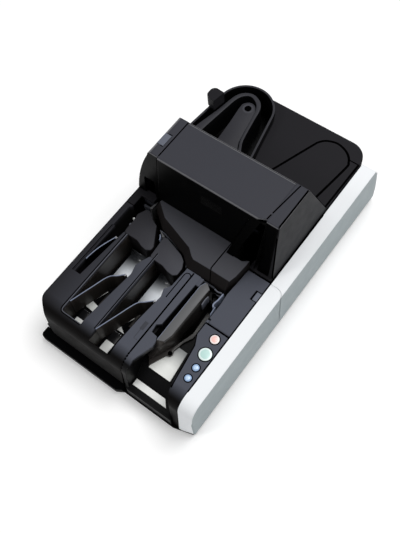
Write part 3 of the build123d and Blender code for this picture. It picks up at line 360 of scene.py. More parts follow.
# Painted light on the hopper's top, over black walls.
HOPPER_PLASTIC = plastic("hopper_plastic", BLACK, 0.42, edge=0.0008, shine=0.2,
                         zones=[below(DECK_Z, 0.006, 0.0006, DECK_TOP)])
# Painted light on the tops of the U-turn's housing and inner wall, over black walls.
TURN_PLASTIC = plastic("turn_plastic", BLACK, 0.42, edge=0.0004,
                       zones=[below(TURN_Z, 0.0008, 0.0003, TURN_TOP)])
GUIDE_PLASTIC = plastic("turn_guide_plastic", BLACK, 0.42, edge=0.0006,
                        zones=[below(TURN_Z, 0.0028, 0.0023, TURN_TOP)])
GUIDE_RIM = plastic("turn_rim_plastic", shade(TURN_TOP, 1.5), 0.4)
ARM_PLASTIC = plastic("turn_arm_plastic", TURN_TOP, 0.42)
# Painted light on the right end face over black walls, with the hood's painted highlight and painted
# top light.
RIGHT_CAP = plastic("right_cap_plastic", HOOD_WALL, 0.36, edge=0.0016, shine=0.12,
                    zones=[("X", CAP_FACE_X - 0.0075, CAP_FACE_X - 0.0068, CAP_FACE),
                           *HOOD_ZONES])
BENT_PLATE = brown_gloss("bent_plate_sheet", shade(PLATE_BROWN, 0.6), shade(PLATE_BROWN, 1.1))
LINER = brown_gloss("pocket_liner_sheet", shade(PLATE_BROWN, 0.4), shade(PLATE_BROWN, 0.75))
# Painted reflection: bright towards the front, going over to painted shade towards the rear.
FLOOR_SHEET = plastic("floor_sheet", (0.06, 0.064, 0.070), 0.24, grain=0.00001, spread=0.15,
                      zones=[("Y", -0.080, -0.104, (0.86, 0.90, 0.95))], shine=0.6)
# Painted shade: the pale sheet goes darker towards its rear.
HOPPER_SHEET = plastic("hopper_sheet", (0.25, 0.26, 0.26), 0.3, grain=0.00001, spread=0.03,
                       zones=[("Y", -0.150, -0.176, (0.88, 0.89, 0.86))])
EDGE = plastic("bright_edge", PLATE_EDGE, 0.3, grain=0.00001, spread=0.03)
# Black for shade painted into gaps, grooves, recesses and the turn arm's bore, and for black parts
# such as the pusher's screw.
SHADE_AND_BLACK = plastic("gap_shade_and_black", (0.0006, 0.0006, 0.0006), 0.9, grain=0.00001, shine=0.0)
# Light grey; its strips at the pockets' rims are painted highlight.
RIM = plastic("deck_rim", (0.095, 0.10, 0.12), 0.35, grain=0.00001)
MARK = plastic("moulded_mark", (0.042, 0.044, 0.054), 0.5)
POLISHED = metal("polished_leaf", (0.80, 0.82, 0.86), 0.16)
PAD = plastic("pale_pad", (0.72, 0.73, 0.71), 0.3, grain=0.00001, spread=0.05)
# Painted light towards the front and painted shade towards the rear.
WEB = plastic("pusher_web_painted_light", WEB_PAINTED_SHADE, 0.3, grain=0.00001,
              zones=[("Y", -0.138, -0.156, WEB_PAINTED_LIGHT)], shine=0.3)
CAPS = {
    "button_stop": clear_cap("red_cap", (0.90, 0.55, 0.50), rim=(0.90, 0.80, 0.78),
                             inner=0.0040, outer=0.0048),
    "button_start": clear_cap("green_cap", (0.46, 0.68, 0.64), rim=(0.74, 0.86, 0.84),
                              inner=0.0058, outer=0.0068),
    "button_up": clear_cap("blue_cap", (0.50, 0.66, 0.86), rim=(0.25, 0.38, 0.62),
                           inner=0.0022, outer=0.0042),
}
CAPS["button_down"] = CAPS["button_up"]
OWN_FINISH = {               # nodes whose material isn't that of their slot
    "transport_block": BLOCK_PLASTIC, "path_block": BLOCK_PLASTIC,
    "hood_right_frame": RIGHT_CAP, "hopper_housing": HOPPER_PLASTIC,
    "turn_housing": TURN_PLASTIC, **CAPS,
}


def finish_nodes():
    slot_of = {row["node"]: row["material_slot"] for row in frame["record"]["subparts"]}
    for name, obj in NODES.items():
        obj.data.materials.clear()
        obj.data.materials.append(OWN_FINISH.get(name) or FINISHES[slot_of[name]])


# ---- stage -----------------------------------------------------------------------------
FLOOR_SIZE = 6.0
FLOOR_DROP = 0.0002          # how far the floor lies under the feet
FLOOR_GLOW = 0.14
AMBIENT = 0.32               # the world's light on the object; the camera sees it at 1
AIM = (0, 0, 0.05)
LIGHTS = {                   # name: place, aim, size, power
    "overhead": ((0.3, 0.8, 2.2), AIM, 1.6, 38),
    "side": ((2.4, -0.1, 0.7), AIM, 1.2, 10),
    "front": ((0.3, -2.3, 0.7), AIM, 1.2, 3),
    "rim": ((-0.50, -0.87, 1.17), (0, 0.01, 0.187), 0.4, 3.5),
}


def stage_material():
    """Pale floor that glows a little for the camera alone, and keeps the object's shadow."""
    s = Shader("studio_floor")
    s.set(Roughness=0.9, Specular_IOR_Level=0.1)
    s.feed("Base Color", s.colours(s.noise(scale=3.0), (0.93, 0.93, 0.93), (0.95, 0.95, 0.95)))
    s.set(Emission_Color=(1, 1, 1, 1))
    path = s.tree.nodes.new("ShaderNodeLightPath")
    glow = s.tree.nodes.new("ShaderNodeMath")
    glow.operation = "MULTIPLY"
    glow.inputs[1].default_value = FLOOR_GLOW
    s.link(path.outputs["Is Camera Ray"], glow.inputs[0])
    s.feed("Emission Strength", glow.outputs[0])
    return s.material


def make_stage():
    mesh = bpy.data.meshes.new("floor")
    bm = bmesh.new()
    bmesh.ops.create_grid(bm, x_segments=8, y_segments=8, size=FLOOR_SIZE)
    bm.to_mesh(mesh)
    bm.free()
    floor = bpy.data.objects.new("floor", mesh)
    floor.location.z = -FLOOR_DROP
    SCENE.collection.objects.link(floor)
    floor.data.materials.append(stage_material())


def make_world():
    """White world, weaker as a light than what the camera sees of it."""
    world = bpy.data.worlds.new("studio")
    SCENE.world = world
    world.use_nodes = True
    tree = world.node_tree
    background = tree.nodes["Background"]
    background.inputs["Color"].default_value = (1.0, 1.0, 1.0, 1)
    path = tree.nodes.new("ShaderNodeLightPath")
    seen = tree.nodes.new("ShaderNodeMath")
    seen.operation = "MAXIMUM"
    tree.links.new(path.outputs["Is Camera Ray"], seen.inputs[0])
    tree.links.new(path.outputs["Is Transmission Ray"], seen.inputs[1])
    level = tree.nodes.new("ShaderNodeMapRange")
    level.inputs["To Min"].default_value = AMBIENT
    level.inputs["To Max"].default_value = 1.0
    tree.links.new(seen.outputs[0], level.inputs["Value"])
    tree.links.new(level.outputs["Result"], background.inputs["Strength"])


def make_lights():
    for name, (at, aim, size, power) in LIGHTS.items():
        data = bpy.data.lights.new(name, "AREA")
        data.shape = "DISK"
        data.size = size
        data.energy = power
        light = bpy.data.objects.new(name, data)
        light.location = at
        light.rotation_mode = "QUATERNION"
        light.rotation_quaternion = (Vector(aim) - Vector(at)).to_track_quat("-Z", "Y")
        SCENE.collection.objects.link(light)


# ---- helpers for pieces: points and sizes in millimetres -----------------------------------
MM = 0.001
DECK = DECK_Z / MM
HOOD = HOOD_Z / MM
BLOCK = BLOCK_Z / MM
CREST_Y, CREST_Z, CREST_R = -197.0, 63.0, 25.0       # axis and radius of the deck's rounded front
SLOPE_STEP = 2.5             # about the step of a line that runs down the rounded front
CORNER_STEPS = 5
CORNER_SHARE = 0.45          # the most of a side that one rounded corner takes up
INLAY_DEEP = 0.5
FRONT_LEAN = 0.01            # turns an upright strip's outer face to the front
SHARP = math.radians(25)     # edges sharper than this stay sharp
TOP_EDGE = 0.8               # angle in radians from which a wall's top edge is rounded off
ALONG_X, ALONG_Y = (1, 0, 0), (0, 1, 0)
HOOD_LIFT = 0.03             # how far a strip stands out on the hood


def deck_height(y):
    """Height of the lower body's outer skin, over the rounded front too."""
    if y >= CREST_Y:
        return DECK
    return CREST_Z + math.sqrt(max(0.0, CREST_R ** 2 - (y - CREST_Y) ** 2))


def rectangle(x0, y0, x1, y1):
    return [(x0, y0), (x1, y0), (x1, y1), (x0, y1)]


def rounded(points, radius):
    """Closed outline with its corners rounded off by short curves."""
    out = []
    for i, here in enumerate(points):
        corner = Vector(here)
        to_last = Vector(points[i - 1]) - corner
        to_next = Vector(points[(i + 1) % len(points)]) - corner
        half = to_last.angle(to_next) / 2
        shortest = min(to_last.length, to_next.length)
        reach = min(radius / math.tan(half), shortest * CORNER_SHARE)
        start = corner + to_last.normalized() * reach
        end = corner + to_next.normalized() * reach
        for k in range(CORNER_STEPS + 1):
            t = k / CORNER_STEPS
            out.append(tuple((1 - t) ** 2 * start + 2 * t * (1 - t) * corner + t ** 2 * end))
    return out


def rounded_line(points, radius):
    """Open line with its middle corners rounded off."""
    middle = rounded(points, radius)
    per_corner = len(middle) // len(points)
    return [points[0]] + middle[per_corner:-per_corner] + [points[-1]]


def smooth(points, steps):
    """Smooth curve through points in two or three axes, with so many steps between them."""
    pts = [Vector(p) for p in points]
    last = len(pts) - 1
    out = []
    for i in range(last):
        a, b, c, d = (pts[min(max(i + k, 0), last)] for k in (-1, 0, 1, 2))
        for k in range(steps):
            t = k / steps
            out.append(tuple(0.5 * (2 * b + (c - a) * t + (2 * a - 5 * b + 4 * c - d) * t ** 2
                                    + (3 * b - a - 3 * c + d) * t ** 3)))
    return out + [tuple(pts[-1])]


def dress(obj, material, body):
    """Puts a finished object into the scene, and on its body."""
    SCENE.collection.objects.link(obj)
    obj.data.materials.append(material)
    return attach(obj, body)


def from_bmesh(name, bm, material, body="base", slot="deck", at=(0.0, 0.0)):
    bmesh.ops.recalc_face_normals(bm, faces=bm.faces)
    bmesh.ops.scale(bm, vec=(MM, MM, MM), verts=bm.verts)
    mesh = bpy.data.meshes.new(name)
    bm.to_mesh(mesh)
    bm.free()
    mesh.polygons.foreach_set("use_smooth", [True] * len(mesh.polygons))
    mesh.set_sharp_from_angle(angle=SHARP)
    obj = bpy.data.objects.new(name, mesh)
    obj.location = (at[0] * MM, at[1] * MM, 0)
    return dress(obj, material, body)


def round_off(bm, edges, size):
    bmesh.ops.bevel(bm, geom=edges, offset=size, segments=2, profile=0.5, affect="EDGES",
                    clamp_overlap=True)


def prism(name, points, low, high, material, bevel=0.4, foot=None, **where):
    """Outline stood up from low to high with softened top edges; its lower end may have
    another outline, foot."""
    bm = bmesh.new()
    top = [bm.verts.new((x, y, high)) for x, y in points]
    bottom = [bm.verts.new((x, y, low)) for x, y in (foot or points)]
    lid = bm.faces.new(top)
    bm.faces.new(bottom[::-1])
    for i in range(len(top)):
        j = (i + 1) % len(top)
        bm.faces.new((bottom[i], bottom[j], top[j], top[i]))
    if bevel:
        bmesh.ops.recalc_face_normals(bm, faces=bm.faces)
        round_off(bm, list(lid.edges), bevel)
    return from_bmesh(name, bm, material, **where)


def ridge(name, left, right, low, high, material, bevel=0.3, feet=None, **where):
    """Upright wall between two lines of as many points; its lower end may follow two others,
    feet."""
    bm = bmesh.new()
    left_foot, right_foot = feet or (left, right)
    rows = [[bm.verts.new((*p, z)) for p in line] for line, z in (
        (left_foot, low), (left, high), (right, high), (right_foot, low))]
    for k in range(len(left) - 1):
        for a, b in zip(rows, rows[1:] + rows[:1]):
            bm.faces.new((a[k], a[k + 1], b[k + 1], b[k]))
    for k in (0, -1):
        bm.faces.new([row[k] for row in rows])
    if bevel:
        bmesh.ops.recalc_face_normals(bm, faces=bm.faces)
        tops = set(rows[1] + rows[2])
        edges = [e for e in bm.edges
                 if set(e.verts) <= tops and e.calc_face_angle() > TOP_EDGE]
        round_off(bm, edges, bevel)
    return from_bmesh(name, bm, material, **where)


def band(name, line, thick, low, high, material, bevel=0.3, **where):
    """Upright wall of one thickness that follows a line in plan."""
    left, right = [], []
    for i, here in enumerate(line):
        run = Vector(line[min(i + 1, len(line) - 1)]) - Vector(line[max(i - 1, 0)])
        side = Vector((-run.y, run.x)).normalized() * thick / 2
        left.append(tuple(Vector(here) + side))
        right.append(tuple(Vector(here) - side))
    return ridge(name, left, right, low, high, material, bevel, **where)


def tube(name, path, radius, material, body="base", slot="plate", sink=0.0):
    """Round bead along a path on a surface, let in by a part of its radius."""
    curve = bpy.data.curves.new(name, "CURVE")
    curve.dimensions = "3D"
    curve.bevel_depth = radius * MM
    curve.bevel_resolution = 2
    curve.use_fill_caps = True
    spline = curve.splines.new("POLY")
    spline.points.add(len(path) - 1)
    for point, (x, y, z) in zip(spline.points, path):
        point.co = (x * MM, y * MM, (z - radius * sink) * MM, 1)
    return dress(bpy.data.objects.new(name, curve), material, body)


def inlay(name, path, width, material=SHADE_AND_BLACK, across=None, lift=0.07, body="base",
          slot="black"):
    """Flat strip let into a surface along a path, standing out by lift. Across is the
    direction of its width; without it the strip lies level."""
    bm = bmesh.new()
    points = [Vector(p) for p in path]
    rows = []
    for i, here in enumerate(points):
        run = (points[min(i + 1, len(points) - 1)] - points[max(i - 1, 0)]).normalized()
        side = Vector(across) if across else Vector((-run.y, run.x, 0))
        side = side.normalized() * width / 2
        up = run.cross(side).normalized()
        if up.z - FRONT_LEAN * up.y < 0:
            up = -up
        rows.append([bm.verts.new(p) for p in (
            here + side - up * INLAY_DEEP, here + side + up * lift,
            here - side + up * lift, here - side - up * INLAY_DEEP)])
    for a, b in zip(rows, rows[1:]):
        for k in range(4):
            bm.faces.new((a[k], a[(k + 1) % 4], b[(k + 1) % 4], b[k]))
    bm.faces.new(rows[0])
    bm.faces.new(rows[-1])
    return from_bmesh(name, bm, material, body=body, slot=slot)


def deck_line(name, points, width, material=SHADE_AND_BLACK, **where):
    """Inlaid strip along the deck and down its rounded front."""
    fine = []
    for (ax, ay), (bx, by) in zip(points, points[1:]):
        on_slope = min(ay, by) < CREST_Y
        steps = max(1, int(abs(by - ay) / SLOPE_STEP)) if on_slope else 1
        fine += [(ax + (bx - ax) * k / steps, ay + (by - ay) * k / steps) for k in range(steps)]
    fine.append(points[-1])
    return inlay(name, [(x, y, deck_height(y)) for x, y in fine], width, material, **where)


def lathe(name, profile, at, material, steps=48, **where):
    """Profile of (radius, height) turned about an upright axis."""
    bm = bmesh.new()
    rings = []
    for r, z in profile:
        if r == 0:
            rings.append([bm.verts.new((0, 0, z))])
        else:
            rings.append([bm.verts.new((r * math.cos(a), r * math.sin(a), z))
                          for a in (2 * math.pi * k / steps for k in range(steps))])
    for low, high in zip(rings, rings[1:]):
        for k in range(steps):
            m = (k + 1) % steps
            corners = []
            for vert in (low[k % len(low)], low[m % len(low)], high[m % len(high)],
                         high[k % len(high)]):
                if vert not in corners:
                    corners.append(vert)
            if len(corners) > 2:
                bm.faces.new(corners)
    return from_bmesh(name, bm, material, at=at, **where)


def loft(name, rows, material, thick, **where):
    """Sheet of one thickness through rows that each have the same number of points."""
    bm = bmesh.new()
    grid = [[bm.verts.new(p) for p in row] for row in rows]
    for low, high in zip(grid, grid[1:]):
        for k in range(len(low) - 1):
            bm.faces.new((low[k], low[k + 1], high[k + 1], high[k]))
    obj = from_bmesh(name, bm, material, **where)
    wall = obj.modifiers.new("thickness", "SOLIDIFY")
    wall.thickness = thick * MM
    wall.offset = 0.0
    return obj


# ---- pockets --------------------------------------------------------------------------------
FLOOR = 45.0                 # floor of the pockets and of the hopper
SHEET_Z = 45.9               # middle of the bright floor plates
CONTACT_Z = 46.4             # height of the contact arms
PLATE_LOW = 51.0             # lower edge of the bent plates
PLATES = {                   # node: body, line in plan from the post to the tip
    "pocket_plate_left": ("plate_left", [(-58.6, -117.2), (-66, -124.5), (-75.5, -133.5),
                                         (-84.5, -160), (-93.9, -189.5)]),
    "pocket_plate_right": ("plate_right", [(-2.8, -125.0), (-11, -133), (-19.8, -142.0),
                                           (-30, -171), (-40.0, -200.3)]),
    "slot_plate": ("plate_slot", [(-105.8, -80.0), (-112.2, -97.5), (-116.2, -113),
                                  (-118.2, -129)]),
}
LIP_STRETCH = slice(11, 17)  # points of a plate's smooth line that carry its lower lip
POST = [(0, 43.0), (1.9, 43.0), (1.9, DECK - 1.6), (1.5, DECK - 1.0), (0, DECK - 1.0)]
CURL = [(-10, SHEET_Z), (-6.5, 46.4), (-3.5, 48.0), (-1.5, 50.5), (-0.4, 54.0), (0, 58.0)]
CONTACT_PADS = {
    "left": [(-89.1, -162.1), (-77.1, -164.2), (-77.6, -174.7), (-90.7, -173.7),
             (-92.0, -170.5)],
    "right": [(-31.5, -168.5), (-21.0, -175.2), (-34.7, -175.8)],
}
CONTACT_ARMS = {
    "left": [(-79.7, -139.1), (-87.0, -160.1)],
    "right": [(-24.2, -149.6), (-33.1, -170.5)],
}
FLOOR_FRONTS = {             # side: left, right and front edge, depth of the front pad
    "left": (-90.2, -78.6, -198.6, 6.0),
    "right": (-35.7, -22.0, -210.3, 15.5),
}
SENSOR_REAR = -177.2         # rear edge of the sensor bars
BAR_EDGE_Y = -178.9          # bright bead across each sensor bar
LINERS = {                   # side: line in plan, how far its top lies under the deck
    "left": ([(-94.2, -66.5), (-94.2, -205.6), (-90, -205.6)], 3.0),
    "right": ([(-40.2, -66.5), (-40.2, -215.6), (-36, -215.6)], 8.0),
}


def bent_sheet(node, body, line):
    """Light sheet with a bright top edge; it swings on its post."""
    in_pocket = "pocket" in node
    knees = smooth(line, 5)
    where = {"body": body, "slot": "plate"}
    sheet = band(node + "_sheet", knees, thick=1.1, low=PLATE_LOW, high=DECK - 0.8,
                 material=BENT_PLATE if in_pocket else SHADE_AND_BLACK, bevel=0.0, **where)
    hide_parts(node)
    band(node + "_edge", knees, thick=1.25, low=DECK - 0.9, high=DECK - 0.1, material=EDGE,
         **where)
    lathe(node + "_post", POST, line[0], FINISHES["steel"], steps=20, **where)
    if in_pocket:
        lip = [(x, y, PLATE_LOW) for x, y in knees[LIP_STRETCH]]
        tube(node + "_lip", lip, radius=0.7, material=POLISHED, **where)


def curled_floor(name, x0, x1, front, rear):
    """Floor plate whose rear end curls up; painted reflection makes its front bright and painted shade
    its rear dark.
    """
    curl = smooth([(rear + y, z) for y, z in CURL], 4)
    line = [(front, SHEET_Z), (rear - 20, SHEET_Z)] + curl
    rows = [[(x, y, z) for y, z in line] for x in (x0, (x0 + x1) / 2, x1)]
    return loft(name, rows, FLOOR_SHEET, thick=0.6, slot="plate")


def floor_front(side, x0, x1, front, pad_depth):
    """Sensor bar, front pad and ramp on a pocket's floor."""
    prism("sensor_bar_" + side, rectangle(x0, front, x1, SENSOR_REAR), FLOOR, FLOOR + 1.2,
          FINISHES["sensor"], slot="sensor")
    tube("sensor_bar_edge_" + side, [(x, BAR_EDGE_Y, FLOOR + 1.6) for x in (x0, x1)],
         radius=0.6, material=POLISHED, sink=0.3)
    prism("front_pad_" + side, rectangle(x0, front, x1, front + pad_depth), FLOOR, FLOOR + 2.0,
          PAD, slot="sheet")
    ramp = [(x0 + 12.5, -163), (x0 + 15.5, -163), (x0 + 15.5, -139.5), (x0 + 12.0, -140.0)]
    prism("floor_ramp_" + side, ramp, FLOOR, FLOOR + 1.0, WEB, slot="pusher")


def dress_pocket_floors():
    plates = curled_floor("pocket_floor_plate_left", -90.2, -58.0, -121.0, -71.0)
    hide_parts("pocket_floor_plates")
    curled_floor("pocket_floor_plate_right", -35.5, -5.0, -131.0, -77.0)
    for side, outline in CONTACT_PADS.items():
        prism("contact_pad_" + side, outline, FLOOR, FLOOR + 1.6, PAD, slot="sheet")
    for side, edges in FLOOR_FRONTS.items():
        floor_front(side, *edges)
    for side, line in CONTACT_ARMS.items():
        inlay("contact_arm_" + side, [(x, y, CONTACT_Z) for x, y in line], width=1.5,
              material=PAD, slot="sheet")


def dress_pockets():
    for node, (body, line) in PLATES.items():
        bent_sheet(node, body, line)
    dress_pocket_floors()
    for side, (line, drop) in LINERS.items():
        band("pocket_liner_" + side, line, thick=0.3, low=FLOOR + 1.0, high=DECK - drop,
             material=LINER, bevel=0.0)


def dress_pocket_rims():
    """Painted shade and painted highlight lines at the rims of the pockets and of the slot, painted
    shade in the strip's groove, and the deck's marks.
    """
    shadow = rounded_line([(-97.4, -67), (-97.4, -207.4), (-62, -207.4)], 6)
    deck_line("pocket_rim_shadow_left", shadow, width=1.6)
    light = rounded_line([(-95.7, -67), (-95.7, -206.2), (-62, -206.2)], 5)
    deck_line("pocket_rim_highlight_left", light, width=0.9, material=RIM, slot="deck")
    deck_line("pocket_rim_shadow_right", [(-41.9, -67), (-41.9, -201)], width=1.6)
    deck_line("pocket_rim_highlight_right", [(-40.7, -67), (-40.7, -199)], width=0.7, material=RIM,
              slot="deck")
    deck_line("strip_groove", [(7.0, -112), (7.0, -71), (8.5, -68), (11.8, -66.8), (15, -68),
                               (16.4, -70.5)], width=1.4)
    prism("slot_ledge", rectangle(-121.4, -151.8, -119.4, -66), low=80.0, high=DECK - 1.2,
          material=FINISHES["deck"])
    deck_line("slot_rim_shadow", [(-122.6, -67), (-122.6, -152.4)], width=1.2)
    prism("cheque_mark", rectangle(6.2, -166.5, 11.8, -154), low=DECK - 1, high=DECK + 0.05,
          material=MARK, bevel=0.0)
    deck_line("cheque_mark_line", [(8.2, -166.5), (8.2, -181), (14, -181)], width=0.8,
              material=MARK, slot="deck")


# ---- paper path between the pockets and the hood ----------------------------------------------
ISLANDS = {
    "guide_island_left": [(-98, -20.5), (-91.5, -20.5), (-80, -29.5), (-70.5, -33.5), (-66, -41),
                          (-59, -52.5), (-53.5, -62), (-53.4, -68.5), (-60, -72), (-69, -70.5),
                          (-78.5, -66.8), (-101.8, -66.8), (-102.5, -58), (-102.2, -45),
                          (-104.3, -34)],
    "guide_island_middle": [(-51.5, -41.5), (-45, -41.0), (-30, -45.5), (-14.5, -50.5),
                            (-6.5, -56), (-1.2, -66), (-0.8, -77.5), (-6, -81.7), (-15, -81),
                            (-26, -77.6), (-41, -77.3), (-48.2, -77.0), (-49.5, -60)],
}
PATH_RAIL = [(-63.8, -35.0), (-53.7, -35.8), (-31.6, -41.8), (-11.6, -48.0), (-4.5, -53.8),
             (0.6, -60.5)]
GATE_LIP = [(-59.5, -40.5), (-57.0, -43.0), (-54.8, -47.5)]
SIDE_ROLLERS = [(-105.6, -41.0, 1.6, 85.0, PAD),     # x, y, radius, top, material
                (-104.6, -50.0, 2.6, 82.0, RIM)]
ROLLER_LOW = 60
WELL_RIBS = [(-118, -99, -4.0, 82), (-112, -101, -13.0, 76)]     # left, right, front, top
RIB_THICK, RIB_TALL = 3.2, 14
LEAF_LOW = 66.5
WIDE_LEAF = [(64.9, -63.2), (64.5, -74.0), (62.9, -82.5), (65.4, -86.4)]
NARROW_LEAF = [(66.9, -84.5), (67.6, -91), (68.2, -97)]
FIN_TOPS = (83.4, 71.5, 59.5)
FIN = [(50.5, -63.6), (57.0, -64.8), (62.6, -63.4)]
FIN_SHADOW = [(51.0, -66.0), (57.0, -67.2), (62.4, -66.0)]


def dress_path():
    for node, points in ISLANDS.items():
        island = prism(node + "_cap", rounded(points, 4.0), low=FLOOR + 1.0, high=DECK - 0.1,
                       material=ISLAND_PLASTIC, bevel=0.9)
        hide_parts(node)
    band("path_rail", smooth(PATH_RAIL, 6), thick=0.9, low=60.0, high=84.0, material=RIM,
         bevel=0.2)
    band("gate_lip", smooth(GATE_LIP, 5), thick=1.8, low=70.0, high=84.5, material=EDGE,
         bevel=0.4, slot="plate")
    for number, (x, y, r, top, material) in enumerate(SIDE_ROLLERS):
        profile = [(0, ROLLER_LOW), (r, ROLLER_LOW), (r, top - 1), (r - 0.8, top), (0, top)]
        lathe("side_roller_%d" % number, profile, (x, y), material, steps=24, slot="rubber")
    for number, (x0, x1, y, top) in enumerate(WELL_RIBS):
        prism("well_rib_%d" % number, rectangle(x0, y, x1, y + RIB_THICK), top - RIB_TALL, top,
              MARK)


def dress_feed_mouth():
    """Leaves and fins where the cheques leave the hopper."""
    leaf = band("feed_leaf_wide", smooth(WIDE_LEAF, 5), thick=2.2, low=LEAF_LOW, high=84.0,
                material=EDGE, bevel=0.5, slot="plate")
    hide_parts("leaf_springs")
    band("feed_leaf_narrow", NARROW_LEAF, thick=1.1, low=LEAF_LOW, high=83.5, material=EDGE,
         slot="plate")
    for number, top in enumerate(FIN_TOPS):
        band("feed_fin_%d" % number, smooth(FIN, 5), thick=1.9, low=top - 1.6, high=top,
             material=RIM, bevel=0.4)
        band("feed_fin_shadow_%d" % number, smooth(FIN_SHADOW, 5), thick=1.6, low=top - 3.0,
             high=top - 1.9, material=SHADE_AND_BLACK, bevel=0.0)


# ---- hopper -----------------------------------------------------------------------------------
SHEET_OUTLINE = [(35, -192.0), (35, -147.4), (65.6, -147.4), (70.2, -188.5), (70.5, -192.0)]
STEP_Z = 25.0                # top of the front step
STEP_OUTLINE = [(26.2, -219.6), (26.2, -210.0), (74.3, -210.0), (83.0, -219.6)]
ON_PUSHER = {"body": "pusher", "slot": "pusher"}
HEAD_LOW = 83.0              # underside of the pusher's head, and of the end of its slot
WEB_HIGH, WEB_LOW = 87, 49   # ends of the pusher's folded web
HEAD_OUTLINE = [(34.0, -166.5), (34.0, -72), (37.6, -64.9), (40.2, -64.4), (47.6, -70.0),
                (47.2, -82), (46.4, -150), (43.2, -162.5)]
HEAD_LINE = [(47.4, -71), (47.0, -82), (46.1, -150), (42.9, -162.5), (34.8, -166.8)]
FOLD_LINE = [(50.0, -76, 66), (50.5, -100, 60), (47.0, -149, 66), (37.5, -168, 66),
             (32.5, -171.5, 68)]
FOOT_LINE = [(53.0, -82), (55.5, -122), (48.4, -144.6), (31.5, -183.5), (24.6, -179.5)]
FOOT_OUTLINE = [(25.0, -178.5), (34.6, -190.3), (45.0, -167.0), (47.2, -165.6),
                (50.0, -165.0), (51.5, -161.6), (50.4, -158.0), (49.6, -156.0),
                (53.6, -139.4), (60, -127), (60, -86), (35.5, -82)]
SCREW = [(0, 49.0), (3.0, 49.0), (3.0, 50.4), (2.4, 50.9), (1.1, 50.9), (0.9, 50.2),
         (0, 50.2)]
PUSHER_LEAF = [(51.4, -78.0), (50.6, -84.0), (51.2, -92.5)]
PANEL_EDGE = [(70.9, -111.8), (70.9, -130), (77.6, -143.2), (82.3, -175), (87.0, -205)]
PANEL_INNER = [(72.3, -111.8), (72.3, -129.6), (79.6, -144), (84.6, -178), (88.6, -205)]


def dress_pusher():
    """Head, folded web and foot of the plate that presses the cheques to the rollers."""
    head = prism("pusher_band", HEAD_OUTLINE, low=HEAD_LOW, high=DECK - 0.05,
                 material=FINISHES["pusher"], bevel=0.6, **ON_PUSHER)
    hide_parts("hopper_pusher")
    # Painted highlight along the head's left edge.
    deck_line("pusher_edge_highlight", [(34.45, -165), (34.45, -72.5), (37.8, -65.6)], width=0.55,
              material=EDGE, lift=0.0, **ON_PUSHER)
    rows = [[(x, y, WEB_HIGH) for x, y in HEAD_LINE], FOLD_LINE,
            [(x, y, WEB_LOW) for x, y in FOOT_LINE]]
    loft("pusher_web", rows, WEB, thick=1.2, **ON_PUSHER)
    prism("pusher_foot", FOOT_OUTLINE, low=46.2, high=49.4, material=WEB, bevel=0.5,
          **ON_PUSHER)
    lathe("pusher_screw", SCREW, (47.9, -161.6), SHADE_AND_BLACK, steps=28, **ON_PUSHER)
    band("pusher_leaf", smooth(PUSHER_LEAF, 5), thick=1.8, low=70.0, high=85.0, material=RIM,
         bevel=0.5, **ON_PUSHER)


def dress_hopper():
    sheet = prism("hopper_sheet", SHEET_OUTLINE, low=FLOOR, high=FLOOR + 0.8,
                  material=HOPPER_SHEET, bevel=0.2, slot="sheet")
    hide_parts("hopper_floor_plates")
    prism("front_strip", STEP_OUTLINE, low=STEP_Z, high=STEP_Z + 1.3,
          material=FINISHES["sheet"], bevel=0.2, slot="sheet")
    dress_pusher()
    prism("slot_end", rectangle(25.5, -75.0, 33.2, -62.6), low=HEAD_LOW, high=DECK - 0.05,
          material=FINISHES["deck"], bevel=0.5)
    prism("panel_edge_shadow", PANEL_EDGE + PANEL_INNER[::-1], low=DECK - 3, high=DECK + 0.06,
          material=SHADE_AND_BLACK, bevel=0.0, slot="black")


# ---- keys and buttons ---------------------------------------------------------------------------
BUTTONS = {                  # node: body, slot, x, y, radius, how far the middle domes up
    "button_stop": ("stop_button", "cap_red", 95.0, -123.0, 6.2, 0.5),
    "button_start": ("start_button", "cap_green", 97.0, -146.0, 8.7, 0.4),
    "button_up": ("up_button", "cap_blue", 98.0, -167.0, 4.6, 1.1),
    "button_down": ("down_button", "cap_blue", 98.0, -183.5, 4.6, 1.1),
}
CAP_TOP = DECK + 0.7         # height of a cap's edge
CAP_FOOT = DECK - 6.2
FLANGE_TOP = DECK - 4.5
FLANGE = 0.7                 # how far the flange stands out under the deck
RECESS_OUTLINE = [(99.2, -51), (108.1, -51), (108.1, -50.15), (100.85, -50.15),
                  (100.85, -36), (99.2, -36)]
LATCH_SIDES = (25.6, 46.4)
LATCH_LINE = [(-92.4, 187), (-97, 187), (-100.5, 186.2), (-103.6, 184.4), (-105.6, 181)]


def cap_profile(r, dome):
    """Flanged foot, upright wall, and a dome that starts inside the edge."""
    wall = [(0, CAP_FOOT), (r + FLANGE, CAP_FOOT), (r + FLANGE, FLANGE_TOP), (r, FLANGE_TOP),
            (r, CAP_TOP - 0.3), (r - 0.35, CAP_TOP)]
    angles = [math.radians(15 * k) for k in range(6)]
    rise = [((r - 0.9) * math.cos(a), CAP_TOP + dome * math.sin(a)) for a in angles]
    return wall + rise + [(0, CAP_TOP + dome)]


def ring_profile(r):
    return [(r + 0.10, DECK - 1.5), (r + 0.10, DECK + 0.6), (r + 1.4, DECK + 0.25),
            (r + 1.5, DECK - 1.5)]


def dress_buttons():
    for node, (body, slot, x, y, r, dome) in BUTTONS.items():
        cap = lathe(node + "_cap", cap_profile(r, dome), (x, y), CAPS[node], body=body,
                    slot=slot)
        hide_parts(node)
        lathe(node + "_ring", ring_profile(r), (x, y), SHADE_AND_BLACK, slot="black")


